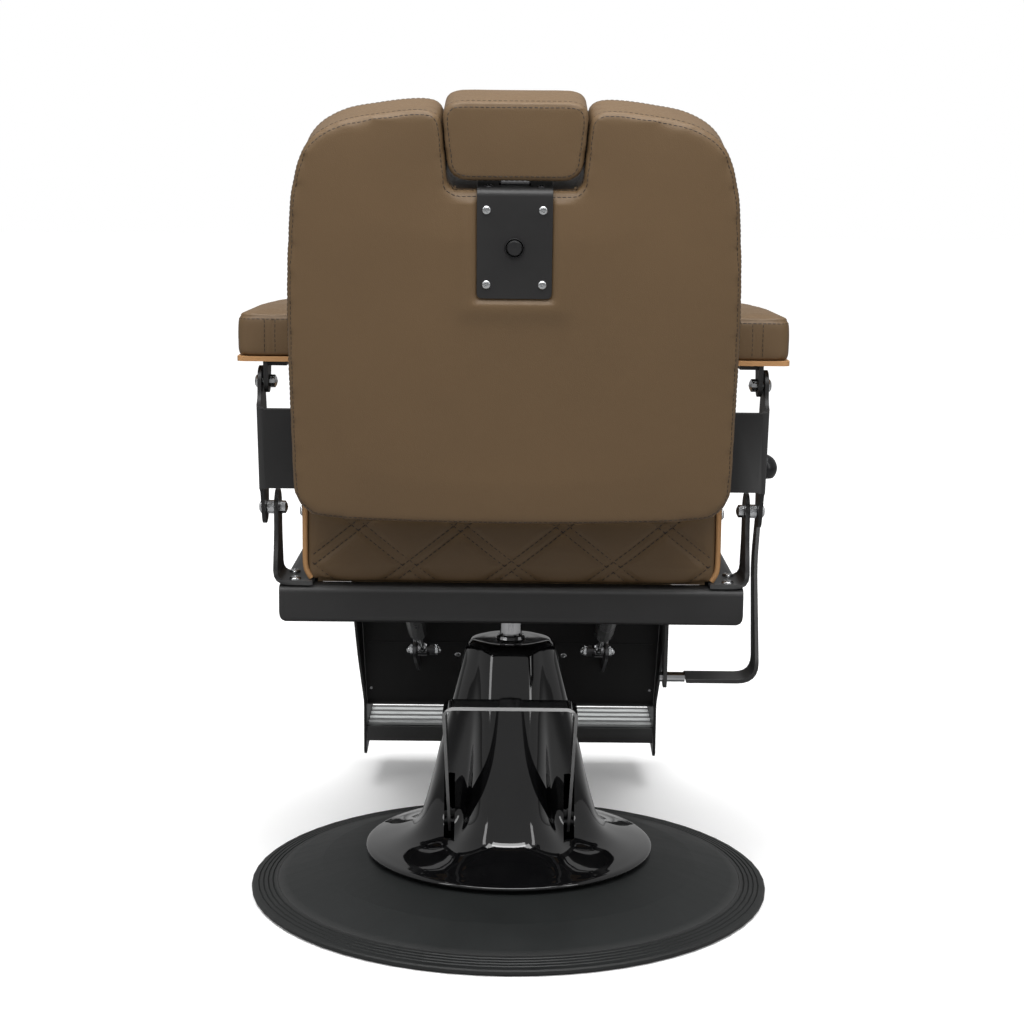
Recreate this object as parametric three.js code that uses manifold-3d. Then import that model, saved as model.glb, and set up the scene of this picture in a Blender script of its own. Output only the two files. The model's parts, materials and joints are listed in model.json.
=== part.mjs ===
// Hydraulic barber chair: round base, pump column, swivelling seat, and a linkage that reclines the back,
// carries the armrests level and lifts the leg rest. Millimetres, +Z up. The sitter faces -Y, and the
// origin is on the floor at the centre of the base. "left" and "right" are the sitter's own.
import * as THREE from "three";
import { mergeVertices } from "three/addons/utils/BufferGeometryUtils.js";
import Module from "manifold-3d";

const wasm = await Module();
wasm.setup();

// ---- driving dimensions ----
const GAP = 0.4; // clearance between pieces that touch
const SHEET = 5; // thickness of the bent brackets
const BASE = { radius: 330, plate: 297, top: 50 };
const COVER = { wall: 3 };
const RAM = { radius: 14, bottom: 105, top: 433 };
const PEDAL = { y: 10, z: 85, halfWidth: 78, back: 282, top: 304, width: 37, sheet: 4 };
const FRAME = { halfWidth: 264, rear: 270, front: -250, bottom: 398, top: 441, wall: 3 };
const SEAT = { halfWidth: 236, rear: 262, front: -262, bottom: 447, top: 570 };
const RECLINE_PIVOT = { y: 235, z: 526 };
const FRONT_PIVOT = { y: -215, z: 450 };
const CRANK = 150; // from each of those pivots to the armrest pivot above it
const LEAN = THREE.MathUtils.degToRad(11); // the back's lean when upright
const BACK = { halfWidth: 233.5, rearHalfWidth: 236.5, bottom: 34, front: 35, board: 105, pad: 118, rear: 135 };
const NOTCH = { halfTop: 76, halfBottom: 72, bottom: 393 };
const HEADREST = { halfTop: 74, halfBottom: 66, bottom: 405, top: 482, front: 38, rear: 136 };
const ARM = { inner: 232.5, outer: 307.5, rear: 286, front: -200, bottom: 697, board: 5.5, top: 757 };
const PLATE = { x0: 280, x1: 285 }; // the outer plates: back brackets and front arm links
const LUG = { x0: 273, x1: 278 }; // the armrest lugs between them and the uprights
const UPRIGHT = { x0: 265.5, x1: 270.5 };
const LEG_PIVOT = { y: -252, z: 384 };
const LEG = { halfWidth: 217, sheet: 4 };
const TREAD = { back: -424, front: -560, top: 92 };
const STRUT = { x: 123, seat: { y: 70, z: 380 }, leg: { y: -250, z: 250 } };
const LEVER = { y: 190, z: 320 };

// ---- materials ----
const paint = (color, roughness, metalness = 0) =>
  new THREE.MeshStandardMaterial({ color, roughness, metalness });
const finish = {
  leather: () => paint(0x6a563f, 0.5),
  tanTrim: () => paint(0xa67c52, 0.5),
  blackPaint: () => paint(0x2c2b2d, 0.45, 0.3),
  glossBlack: () => paint(0x0a0b0b, 0.06, 0.2),
  matteBlack: () => paint(0x2a2c2c, 0.7),
  rubber: () => paint(0x1f2121, 0.6),
  chrome: () => paint(0xc8c8c8, 0.12, 1),
  steel: () => paint(0x8d8f90, 0.35, 1),
  tread: () => paint(0x7b7d7c, 0.5, 0.6),
  plywood: () => paint(0xb08d5b, 0.7),
  plastic: () => paint(0x151516, 0.4),
};

// ---- solids ----
function solidOf(geometry) {
  const bare = geometry.index ? geometry.toNonIndexed() : geometry.clone();
  bare.deleteAttribute("normal");
  bare.deleteAttribute("uv");
  const merged = mergeVertices(bare, 1e-3);
  const index = merged.index.array;
  const kept = [];
  for (let i = 0; i < index.length; i += 3) {
    const [a, b, c] = [index[i], index[i + 1], index[i + 2]];
    if (a !== b && b !== c && a !== c) kept.push(a, b, c);
  }
  const vertProperties = merged.attributes.position.array;
  return new wasm.Manifold(new wasm.Mesh({ numProp: 3, vertProperties, triVerts: new Uint32Array(kept) }));
}

function geometryOf(solid) {
  const { vertProperties, triVerts, numProp, numVert } = solid.getMesh();
  const points = new Float32Array(numVert * 3);
  for (let i = 0; i < numVert; i++) points.set(vertProperties.subarray(i * numProp, i * numProp + 3), i * 3);
  const geometry = new THREE.BufferGeometry();
  geometry.setAttribute("position", new THREE.BufferAttribute(points, 3));
  geometry.setIndex(new THREE.BufferAttribute(new Uint32Array(triVerts), 1));
  return geometry;
}

const combine = (how, first, rest) =>
  geometryOf(rest.reduce((made, next) => made[how](solidOf(next)), solidOf(first)));
const join = (first, ...rest) => combine("add", first, rest);
const cut = (first, ...rest) => combine("subtract", first, rest);
const meet = (first, ...rest) => combine("intersect", first, rest);

// ---- shapes ----
const box = (x0, x1, y0, y1, z0, z1) =>
  new THREE.BoxGeometry(x1 - x0, y1 - y0, z1 - z0).translate((x0 + x1) / 2, (y0 + y1) / 2, (z0 + z1) / 2);

// Extrudes a shape by a depth, with its edges rounded by r and its outline kept at full size.
function slab(shape, depth, r, curveSegments) {
  const options = { depth: depth - 2 * r, curveSegments, bevelEnabled: r > 0 };
  if (r > 0) Object.assign(options, { bevelThickness: r, bevelSize: r, bevelOffset: -r, bevelSegments: 2 });
  return new THREE.ExtrudeGeometry(shape, options).translate(0, 0, r);
}

// A shape drawn in (Y, Z), with its thickness along X.
function alongX(shape, x0, x1, curveSegments = 6, r = 0) {
  const turn = new THREE.Matrix4().set(0, 0, 1, x0, 1, 0, 0, 0, 0, 1, 0, 0, 0, 0, 0, 1);
  return slab(shape, x1 - x0, r, curveSegments).applyMatrix4(turn);
}

// A shape drawn in (X, Z), with its thickness along Y.
const alongY = (shape, y0, y1, curveSegments = 6, r = 0) =>
  slab(shape, y1 - y0, r, curveSegments).rotateX(Math.PI / 2).translate(0, y1, 0);

// A shape drawn in (X, Y), with its thickness along Z.
const alongZ = (shape, z0, z1, curveSegments = 6, r = 0) =>
  slab(shape, z1 - z0, r, curveSegments).translate(0, 0, z0);

const turned = (profile, segments) =>
  new THREE.LatheGeometry(profile.map(([r, z]) => new THREE.Vector2(r, z)), segments).rotateX(Math.PI / 2);

// A round bar along X, from x0 to x1, at (y, z).
const barX = (radius, x0, x1, y, z, sides = 12) =>
  new THREE.CylinderGeometry(radius, radius, x1 - x0, sides).rotateZ(Math.PI / 2).translate((x0 + x1) / 2, y, z);

// A round bar along Z, from z0 to z1, on the column's axis.
const barZ = (radius, z0, z1, sides = 24) =>
  new THREE.CylinderGeometry(radius, radius, z1 - z0, sides).rotateX(Math.PI / 2).translate(0, 0, (z0 + z1) / 2);

const polygon = (points) => new THREE.Shape(points.map(([a, b]) => new THREE.Vector2(a, b)));

function roundedRectangle(a0, a1, b0, b1, r) {
  const s = new THREE.Shape();
  s.moveTo(a0 + r, b0).lineTo(a1 - r, b0).absarc(a1 - r, b0 + r, r, -Math.PI / 2, 0);
  s.lineTo(a1, b1 - r).absarc(a1 - r, b1 - r, r, 0, Math.PI / 2);
  s.lineTo(a0 + r, b1).absarc(a0 + r, b1 - r, r, Math.PI / 2, Math.PI);
  s.lineTo(a0, b0 + r).absarc(a0 + r, b0 + r, r, Math.PI, 1.5 * Math.PI);
  return s;
}

// Puts a short curve, starting r before it, in place of a corner with the given neighbours.
function corner(before, at, after, r, steps) {
  const back = before.clone().sub(at);
  const ahead = after.clone().sub(at);
  const reach = Math.min(r, back.length() / 2.05, ahead.length() / 2.05);
  const start = at.clone().add(back.setLength(reach));
  const end = at.clone().add(ahead.setLength(reach));
  return new THREE.QuadraticBezierCurve(start, at, end).getPoints(steps);
}

// An open line with every inner corner softened.
function softLine(points, r, steps = 4) {
  const line = points.map(([a, b]) => new THREE.Vector2(a, b));
  const inner = line.slice(1, -1).flatMap((p, i) => corner(line[i], p, line[i + 2], r, steps));
  return [line[0], ...inner, line.at(-1)];
}

// A closed outline with every corner softened by its own radius: [a, b, radius].
function softPolygon(points, steps = 4) {
  const line = points.map(([a, b]) => new THREE.Vector2(a, b));
  const n = line.length;
  const soft = line.flatMap((p, i) => {
    const r = points[i][2] ?? 0;
    return r > 0 ? corner(line[(i + n - 1) % n], p, line[(i + 1) % n], r, steps) : [p];
  });
  return new THREE.Shape(soft);
}

// The outline of a strip of sheet whose middle follows a line.
function strip(line, thickness) {
  const side = (sign) =>
    line.map((p, i) => {
      const back = p.clone().sub(line[Math.max(i - 1, 0)]).normalize();
      const ahead = line[Math.min(i + 1, line.length - 1)].clone().sub(p).normalize();
      const along = back.clone().add(ahead).normalize();
      const inside = i > 0 && i < line.length - 1;
      const half = thickness / 2 / (inside ? along.dot(ahead) : 1);
      return new THREE.Vector2(p.x - along.y * half * sign, p.y + along.x * half * sign);
    });
  return new THREE.Shape([...side(-1), ...side(1).reverse()]);
}

// The outline of a flat link: a round end of radius ra about a, and one of radius rb about b.
function link(a, b, ra, rb) {
  const direction = Math.atan2(b.z - a.z, b.y - a.y);
  const lean = Math.acos((ra - rb) / Math.hypot(b.y - a.y, b.z - a.z));
  const s = new THREE.Shape();
  s.absarc(a.y, a.z, ra, direction + lean, direction - lean + 2 * Math.PI);
  s.absarc(b.y, b.z, rb, direction - lean, direction + lean);
  return s;
}

// Joins rings of points into one closed solid; each ring runs anticlockwise seen from above, lowest first.
function loft(rings) {
  const n = rings[0].length;
  const middle = (ring) => ring.reduce((sum, p) => sum.add(p), new THREE.Vector3()).divideScalar(n);
  const points = [...rings.flat(), middle(rings[0]), middle(rings.at(-1))];
  const index = [];
  for (let r = 0; r < rings.length - 1; r++)
    for (let i = 0; i < n; i++) {
      const [a, b] = [r * n + i, r * n + ((i + 1) % n)];
      index.push(a, b, b + n, a, b + n, a + n);
    }
  const last = (rings.length - 1) * n;
  for (let i = 0; i < n; i++) {
    index.push((i + 1) % n, i, points.length - 2);
    index.push(last + i, last + ((i + 1) % n), points.length - 1);
  }
  return new THREE.BufferGeometry().setFromPoints(points).setIndex(index);
}

// A bolt along X at (y, z): a domed head outside x = head, a spacer, and a nut whose outer face is x = nut.
function bolt(nut, head, spacer, at, shank = 5) {
  const step = spacer ? [[shank, spacer[0]], [8, spacer[0]], [8, spacer[1]], [shank, spacer[1]]] : [];
  const profile = [
    [0, nut - 9], [4, nut - 8], [7.5, nut - 6], [7.5, nut], [shank, nut],
    ...step,
    [shank, head], [7.5, head], [7, head + 2], [4.5, head + 3.6], [0, head + 4],
  ];
  return turned(profile, 12).rotateY(Math.PI / 2).translate(0, at.y, at.z);
}

const hole = (at, shank = 5) => barX(shank + GAP, 100, 320, at.y, at.z);

// ---- assembly ----
const chair = new THREE.Group();
const backFrame = new THREE.Group(); // x across, y to the rear, z up the back; origin at the recline pivot
backFrame.position.set(0, RECLINE_PIVOT.y, RECLINE_PIVOT.z);
backFrame.rotation.x = -LEAN;
chair.add(backFrame);

function add(name, geometry, material, parent = chair) {
  const mesh = new THREE.Mesh(geometry, material());
  mesh.name = name;
  parent.add(mesh);
}

// Adds a piece made for the left side, and its mirror image on the right.
function addPair(name, geometry, material, parent = chair) {
  add(`${name}_left`, geometry, material, parent);
  add(`${name}_right`, geometryOf(solidOf(geometry).mirror([1, 0, 0])), material, parent);
}

const armPivot = {
  y: RECLINE_PIVOT.y + CRANK * Math.sin(LEAN),
  z: RECLINE_PIVOT.z + CRANK * Math.cos(LEAN),
};
const armFrontPivot = {
  y: FRONT_PIVOT.y + CRANK * Math.sin(LEAN),
  z: FRONT_PIVOT.z + CRANK * Math.cos(LEAN),
};

// ---- base and pump ----
function basePlate() {
  const { plate, top } = BASE;
  return turned([
    [0, 0], [62, 0], [70, 42], [180, 40], [240, 27], [282, 12], [288, 0], [plate, 0],
    [plate, 13], [285, 16], [240, 31], [183, 44], [120, top], [0, top],
  ], 60);
}

// The rubber ring round the plate, with fine grooves on its upper face.
function baseRim() {
  const { radius } = BASE;
  const inner = BASE.plate + GAP;
  const grooves = [radius - 8, radius - 14, radius - 20, radius - 26].flatMap((r) => {
    const z = 8 + (radius - r) * 0.16;
    return [[r, z], [r - 1.2, z - 1], [r - 2.4, z + 0.4]];
  });
  const edge = [[radius - 4, 0], [radius, 3], [radius, 6.5], [radius - 2, 8]];
  const profile = [[inner, 0], ...edge, ...grooves, [inner, 13], [inner, 0]];
  return turned(profile, 60);
}

// Heights of the cover, with how far its four lobes reach and their half width.
const COVER_SECTIONS = [
  [44.8, 182.5, 182.5], [48, 184, 184], [53, 182.5, 182.5], [57, 177, 176], [60, 168, 158], [64, 152, 122],
  [70, 136, 92], [78, 123, 76], [90, 114, 66], [107, 108, 59], [140, 99, 56], [180, 90, 53], [240, 75, 50],
  [285, 64, 48.5], [309, 58.5, 47], [317, 56, 46], [321.5, 51, 43], [323, 44, 38],
];

function coverRing([z, reach, half], inset, sides) {
  const p = 2 + 2.4 * Math.min(1, 3 * (1 - half / reach));
  return Array.from({ length: sides }, (_, i) => {
    const angle = (2 * Math.PI * i) / sides;
    const [c, s] = [Math.abs(Math.cos(angle)), Math.abs(Math.sin(angle))];
    const lobe = (a, b) => ((a / reach) ** p + (b / half) ** p) ** (-1 / p);
    const r = Math.max(lobe(c, s), lobe(s, c)) - inset;
    return new THREE.Vector3(r * Math.cos(angle), r * Math.sin(angle), z);
  });
}

function pumpCover() {
  const outside = loft(COVER_SECTIONS.map((section) => coverRing(section, 0, 56)));
  const hollow = COVER_SECTIONS.filter((_, i) => [0, 3, 5, 7, 9, 11, 13, 15].includes(i));
  const lowered = hollow.map(([z, reach, half]) => [z - (z < 120 ? 5 : 0), reach, half]);
  const inside = loft(lowered.map((section) => coverRing(section, COVER.wall, 40)));
  const slots = [1, -1].map((side) => box(side * 75.5 - 7, side * 75.5 + 7, 20, 140, 79, 158));
  return cut(outside, inside, ...slots, barZ(RAM.radius + 1, 300, 330));
}

// The pump's body, with the ram's bore above and the pedal's axle through its foot.
function pumpCylinder() {
  const block = box(-62, 62, -26, 36, 50.4, 100);
  const tube = barZ(33, 50.4, 306);
  const axle = barX(6, -84, 84, PEDAL.y, PEDAL.z);
  return cut(join(block, tube, axle), barZ(RAM.radius + GAP, RAM.bottom - 3, 310));
}

// A strip bent into a U, its legs sloping down and forward through the cover to the axle.
function footPedal() {
  const { y, z, halfWidth, back, top, width, sheet } = PEDAL;
  const outer = roundedRectangle(-halfWidth, halfWidth, 40, top, 14);
  const inner = roundedRectangle(-halfWidth + sheet, halfWidth - sheet, 20, top - sheet, 10);
  const channel = cut(alongY(outer, -20, back), alongY(inner, -30, back + 10), box(-90, 90, -30, 300, 30, 62));
  const sideView = softPolygon([
    [y - 15, z - 8, 9], [y + 2, z - 16, 9], [back, 299], [back, top + 1], [back - width, top + 1], [y - 10, z + 14, 9],
  ]);
  return cut(meet(channel, alongX(sideView, -90, 90)), barX(6 + GAP, -90, 90, y, z));
}

function addBase() {
  add("base_plate", basePlate(), finish.matteBlack);
  add("base_rim", baseRim(), finish.rubber);
  add("pump_cover", pumpCover(), finish.glossBlack);
  add("pump_cylinder", pumpCylinder(), finish.steel);
  add("ram_seal", turned([[14.6, 323.4], [19, 323.4], [18, 327], [14.6, 328], [14.6, 323.4]], 24), finish.chrome);
  add("foot_pedal", footPedal(), finish.glossBlack);
  add("ram", barZ(RAM.radius, RAM.bottom, RAM.top), finish.chrome);
}

// ---- seat ----
// A channel of sheet: its open side faces the middle of the seat.
function channelShape(outer, inward) {
  const { bottom, top, wall } = FRAME;
  const reach = outer + inward * 28;
  const line = [
    [reach, top - wall / 2], [outer + (inward * wall) / 2, top - wall / 2],
    [outer + (inward * wall) / 2, bottom + wall / 2], [reach, bottom + wall / 2],
  ];
  return strip(softLine(line, 7, 3), wall);
}

function crossRail(outer, inward) {
  const { halfWidth, bottom, top } = FRAME;
  const rail = alongX(channelShape(outer, inward), -halfWidth, halfWidth);
  const lowCorners = softPolygon([
    [-halfWidth, bottom, 12], [halfWidth, bottom, 12], [halfWidth, top + 1], [-halfWidth, top + 1],
  ]);
  return meet(rail, alongY(lowCorners, outer - 40, outer + 40));
}

function frontRail() {
  const ears = [1, -1].map((side) => {
    const eye = link({ y: -238, z: 403 }, LEG_PIVOT, 10, 11);
    return alongX(eye, side * 205 - 2.5, side * 205 + 2.5);
  });
  return cut(join(crossRail(FRAME.front, 1), ...ears), barX(6 + GAP, -220, 220, LEG_PIVOT.y, LEG_PIVOT.z));
}

function sideRail() {
  return alongY(channelShape(FRAME.halfWidth, -1), FRAME.front + 28.6, FRAME.rear - 28.6);
}

// The plate that sits on the ram: its socket, and the lugs and pins that carry the leg rest's struts.
function seatHub() {
  const { y, z } = STRUT.seat;
  const lugs = [1, -1].flatMap((side) => {
    const ear = softPolygon([[y - 16, 402], [y - 9, z - 10, 8], [y + 9, z - 10, 8], [y + 16, 402]]);
    const plate = alongX(ear, side * (STRUT.x + 11) - 2, side * (STRUT.x + 11) + 2);
    return [plate, barX(4, side * STRUT.x - 10, side * STRUT.x + 10, y, z)];
  });
  const plate = box(-192, 192, -130, 228, 401, 407);
  const socket = barZ(26, 406, 436);
  return cut(join(plate, socket, ...lugs), barZ(RAM.radius + GAP, 390, RAM.top + GAP));
}

function seatCushion() {
  const { halfWidth, rear, front, bottom, top } = SEAT;
  const sideView = softPolygon([
    [front + 6, bottom, 26], [rear, bottom, 26], [rear, top - 4, 40], [40, top - 6, 60], [front, top, 90],
  ], 5);
  const recess = box(-224, 224, -242, 246, bottom - 10, 454);
  return cut(alongX(sideView, -halfWidth, halfWidth, 6, 8), recess);
}

// A bracket bent up from the frame's top, narrowing to the recline pivot.
function upright() {
  const { x0, x1 } = UPRIGHT;
  const bottom = FRAME.top + GAP + SHEET / 2;
  const bend = strip(softLine([[226, bottom], [(x0 + x1) / 2, bottom], [(x0 + x1) / 2, 560]], 14), SHEET);
  const { y, z } = RECLINE_PIVOT;
  const sideView = softPolygon([
    [202, 430], [269, 430], [269, 462, 20], [y + 20, 497, 20], [y + 21, z + 8, 14], [y + 8, z + 21, 14],
    [y - 8, z + 21, 14], [y - 21, z + 8, 14], [y - 22, 492, 20], [202, 458, 20],
  ]);
  const foot = alongZ(polygon([[210, 269], [275, 280], [275, 190], [250, 190]]), 430, 560);
  return cut(meet(alongY(bend, 190, 290), alongX(sideView, 200, 280), foot), hole(RECLINE_PIVOT));
}

function frontBracket() {
  const { y, z } = FRONT_PIVOT;
  const sideView = softPolygon([[y - 30, 404, 8], [y + 30, 404, 8], [y + 14, z + 13, 12], [y - 14, z + 13, 12]]);
  return cut(alongX(sideView, 264.4, 269.4), hole(FRONT_PIVOT));
}

// The plate under the hub that the lever's shaft turns in.
function leverHanger() {
  const { y, z } = LEVER;
  const side = softPolygon([[y - 26, 400.6], [y - 13, z - 12, 10], [y + 13, z - 12, 10], [y + 26, 400.6]]);
  const plate = join(alongX(side, 180, 184), box(150, 184, y - 26, y + 26, 396.6, 400.6));
  return cut(plate, barX(6 + GAP, 170, 200, y, z));
}

function addSeat() {
  const { x1 } = UPRIGHT;
  add("seat_hub", seatHub(), finish.blackPaint);
  add("rail_rear", crossRail(FRAME.rear, -1), finish.blackPaint);
  add("rail_front", frontRail(), finish.blackPaint);
  addPair("rail", sideRail(), finish.blackPaint);
  add("seat_board", box(-222, 222, -240, 244, FRAME.top + GAP, 453.4), finish.plywood);
  add("seat_cushion", seatCushion(), finish.leather);
  addPair("upright", upright(), finish.blackPaint);
  addPair("front_bracket", frontBracket(), finish.blackPaint);
  const reclineBolt = bolt(UPRIGHT.x0 - GAP, PLATE.x1 + GAP, [x1 + GAP, PLATE.x0 - GAP], RECLINE_PIVOT);
  addPair("recline_bolt", reclineBolt, finish.steel);
  addPair("link_bolt", bolt(264, PLATE.x1 + GAP, [269.8, PLATE.x0 - GAP], FRONT_PIVOT), finish.steel);
  add("leg_hinge_rod", barX(6, -228, 228, LEG_PIVOT.y, LEG_PIVOT.z), finish.steel);
  add("lever_hanger", geometryOf(solidOf(leverHanger()).mirror([1, 0, 0])), finish.blackPaint);
}

// ---- back ----
// Half of the back's outline, from its bottom corner up to the notch; the other half mirrors it.
function backOutline(halfWidth) {
  const { bottom } = BACK;
  const scale = halfWidth / 236.5;
  const half = [
    [234.5, bottom, 18], [236.5, 230, 60], [235, 300, 40], [229, 392, 30], [214, 440, 30], [180, 461, 30],
    [110, 471, 30], [NOTCH.halfTop / scale, 470, 22], [NOTCH.halfBottom / scale, NOTCH.bottom, 12],
  ].map(([x, z, r]) => [x * scale, z, r]);
  const mirrored = half.map(([x, z, r]) => [-x, z, r]).reverse();
  return softPolygon([...half, ...mirrored], 3);
}

function backBoard() {
  const slot = box(-16.5, 16.5, 90, 130, 255, 400);
  return cut(alongY(backOutline(BACK.halfWidth - 5), BACK.board, BACK.pad - GAP), slot);
}

function headrestCushion() {
  const { halfTop, halfBottom, bottom, top, front, rear } = HEADREST;
  const rearView = softPolygon([
    [-halfBottom, bottom, 24], [halfBottom, bottom, 24], [halfTop, top, 28], [-halfTop, top, 28],
  ], 3);
  return alongY(rearView, front, rear, 6, 9);
}

// The plate behind the back that carries the headrest's bar and its catch; its top folds over the notch.
function headrestPlate() {
  const behind = BACK.rear + GAP;
  const over = NOTCH.bottom + GAP;
  const line = softLine([[92, over + 1.5], [behind + 1.5, over + 1.5], [behind + 1.5, 282]], 6);
  const bent = alongX(strip(line, 3), -39, 39);
  const rearView = softPolygon([[-39, 282, 6], [39, 282, 6], [39, 420], [-39, 420]]);
  const slot = box(-16.5, 16.5, 105.5, 116, 380, 400);
  const round = new THREE.CylinderGeometry(8.9, 8.9, 20, 20).translate(0, 138, 336);
  return cut(meet(bent, alongY(rearView, 80, 145)), slot, round);
}

// A Z-section bracket: outer plate with both pivots, a web facing the rear, and a flange on the back's side.
function backBracket() {
  const line = [[(PLATE.x0 + PLATE.x1) / 2, -60], [(PLATE.x0 + PLATE.x1) / 2, 40], [236.7, 40], [236.7, 68]];
  const section = strip(softLine(line, 8, 3), 4.4);
  const plateView = softPolygon([
    [-13, -18, 12], [13, -18, 12], [21, 4, 12], [24, 30, 14], [45, 37], [45, 130], [22, 134, 14], [16, 160, 14],
    [8, 167, 9], [-8, 167, 9], [-16, 158, 12], [-27, 118, 16], [-27, 48, 16], [-21, 4, 12],
  ]);
  const outer = meet(alongZ(section, -30, 180), alongX(plateView, 276, 290));
  const middle = meet(alongZ(section, 37, 130), box(200, 290, 20, 80, 0, 200));
  const pivots = [{ y: 0, z: 0 }, { y: 0, z: CRANK }];
  return cut(join(outer, middle), ...pivots.map((at) => hole(at)));
}

function addBack() {
  const { front, board, pad, rear, halfWidth, rearHalfWidth } = BACK;
  const channel = box(-17, 17, 102, 112, 255, 400);
  const cushion = alongY(backOutline(halfWidth), front, board - GAP, 6, 7);
  add("back_cushion", cut(cushion, channel), finish.leather, backFrame);
  add("back_board", backBoard(), finish.plywood, backFrame);
  const well = new THREE.CylinderGeometry(9.5, 9.5, 40, 20).translate(0, 128, 336);
  add("back_pad", cut(alongY(backOutline(rearHalfWidth), pad, rear, 6, 5), well), finish.leather, backFrame);
  addPair("back_bracket", backBracket(), finish.blackPaint, backFrame);
  addPair("arm_bolt", bolt(LUG.x0 - GAP, PLATE.x1 + GAP, null, { y: 0, z: CRANK }), finish.steel, backFrame);
  add("headrest_plate", headrestPlate(), finish.blackPaint, backFrame);
  const button = turned([[0, 0], [8.3, 0], [8.3, 20], [7, 22], [0, 22.5]], 20).rotateX(-Math.PI / 2);
  add("headrest_button", button.translate(0, 121, 336), finish.plastic, backFrame);
  add("headrest_cushion", cut(headrestCushion(), box(-16, 16, 107, 116, 400, 446)), finish.leather, backFrame);
  add("headrest_bar", box(-14.5, 14.5, 108, 114, 266, 445), finish.chrome, backFrame);
}

// ---- armrests ----
function armPad() {
  const { inner, outer, rear, front, bottom, board, top } = ARM;
  const low = bottom + board + GAP;
  const sideView = softPolygon([[front + 4, low, 16], [rear, low, 16], [rear, top - 8, 24], [front, top, 44]], 4);
  return alongX(sideView, inner, outer, 6, 6);
}

function armBracket() {
  const strapTop = ARM.bottom - GAP;
  const strapBottom = strapTop - 4.6;
  const lug = (at) => softPolygon([
    [at.y - 20, strapTop], [at.y - 13, at.z - 9, 12], [at.y, at.z - 14, 9], [at.y + 13, at.z - 9, 12],
    [at.y + 20, strapTop],
  ]);
  const lugs = [armPivot, armFrontPivot].map((at) => alongX(lug(at), LUG.x0, LUG.x1));
  const flat = box(252, LUG.x1, armFrontPivot.y - 20, armPivot.y + 16, strapBottom, strapTop);
  return cut(join(flat, ...lugs), hole(armPivot), hole(armFrontPivot));
}

function addArms() {
  const { inner, outer, rear, front, bottom, board } = ARM;
  addPair("arm_pad", armPad(), finish.leather);
  const boardView = roundedRectangle(inner + 0.5, outer - 0.5, front + 5, rear + 1, 9);
  addPair("arm_board", alongZ(boardView, bottom, bottom + board, 3), finish.tanTrim);
  addPair("arm_bracket", armBracket(), finish.blackPaint);
  addPair("arm_front_bolt", bolt(LUG.x0 - GAP, PLATE.x1 + GAP, null, armFrontPivot), finish.steel);
  const bar = alongX(link(FRONT_PIVOT, armFrontPivot, 13, 13), PLATE.x0, PLATE.x1);
  addPair("arm_link", cut(bar, hole(FRONT_PIVOT), hole(armFrontPivot)), finish.blackPaint);
}

// ---- leg rest ----
function legPlate() {
  const { y, z } = LEG_PIVOT;
  const sideView = softPolygon([
    [y - 14, z - 10, 10], [y - 10, z + 11, 9], [y + 10, z + 11, 9], [-172, 352, 30], [-213, 308, 20],
    [-290, 231, 60], [-418, 131, 8], [-420, 48, 14],
    [-548, 60, 14], [-562, 78, 8], [-562, 104, 8], [-470, 112, 30], [-447, 140, 14],
  ]);
  const { halfWidth, sheet } = LEG;
  return cut(alongX(sideView, halfWidth - sheet, halfWidth), hole(LEG_PIVOT, 6));
}

// The sheet behind the calves, with a short fold along its foot.
function legPanel() {
  const line = softLine([[-276, 354], [-432, 128.2], [-446, 122]], 8);
  const half = LEG.halfWidth - LEG.sheet - GAP;
  return alongX(strip(line, 3), -half, half);
}

// Lugs standing out behind the panel, with the pins that the struts turn on.
function legLug() {
  const { x, leg } = STRUT;
  const tail = softPolygon([
    [leg.y + 9, leg.z - 9, 8], [leg.y + 9, leg.z + 9, 8], [-306, 302], [-382, 193.5], [-372, 190, 6],
  ]);
  const plate = meet(alongX(tail, x + 9, x + 13), panelBack());
  return join(plate, barX(4, x - 10, x + 11, leg.y, leg.z), barX(8, x - 17, x - 10, leg.y, leg.z));
}

// The room behind the leg panel.
const panelBack = () => alongX(polygon([[-272.5, 356], [-424.2, 136.5], [-150, 136.5], [-150, 356]]), 0, 300);

function legPad() {
  const half = LEG.halfWidth - LEG.sheet - 3;
  const sideView = softPolygon([
    [-280.5, 352, 12], [-313, 352, 24], [-456, 144, 16], [-432, 132, 12],
  ], 4);
  return alongX(sideView, -half, half, 6, 3);
}

// The ribbed step.
function tread() {
  const { back, front, top } = TREAD;
  const half = LEG.halfWidth - LEG.sheet - GAP;
  const ribs = [0, 1, 2, 3, 4].map((i) => {
    const at = back - 12 - i * 26;
    const rib = polygon([[at - 8, top - 3], [at + 8, top - 3], [at + 4, top + 1], [at - 4, top + 1]]);
    return alongX(rib, -half, half);
  });
  return join(box(-half, half, front, back - GAP, top - 8, top - 2), ...ribs);
}

function addLegRest() {
  const { back, top } = TREAD;
  const half = LEG.halfWidth - LEG.sheet - GAP;
  addPair("leg_plate", legPlate(), finish.blackPaint);
  add("leg_panel", legPanel(), finish.blackPaint);
  addPair("leg_lug", legLug(), finish.steel);
  add("leg_pad", legPad(), finish.leather);
  add("tread", tread(), finish.tread);
  add("tread_lip", box(-half, half, back, back + 3, top - 21, top + 1), finish.blackPaint);
  addStruts();
}

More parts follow.
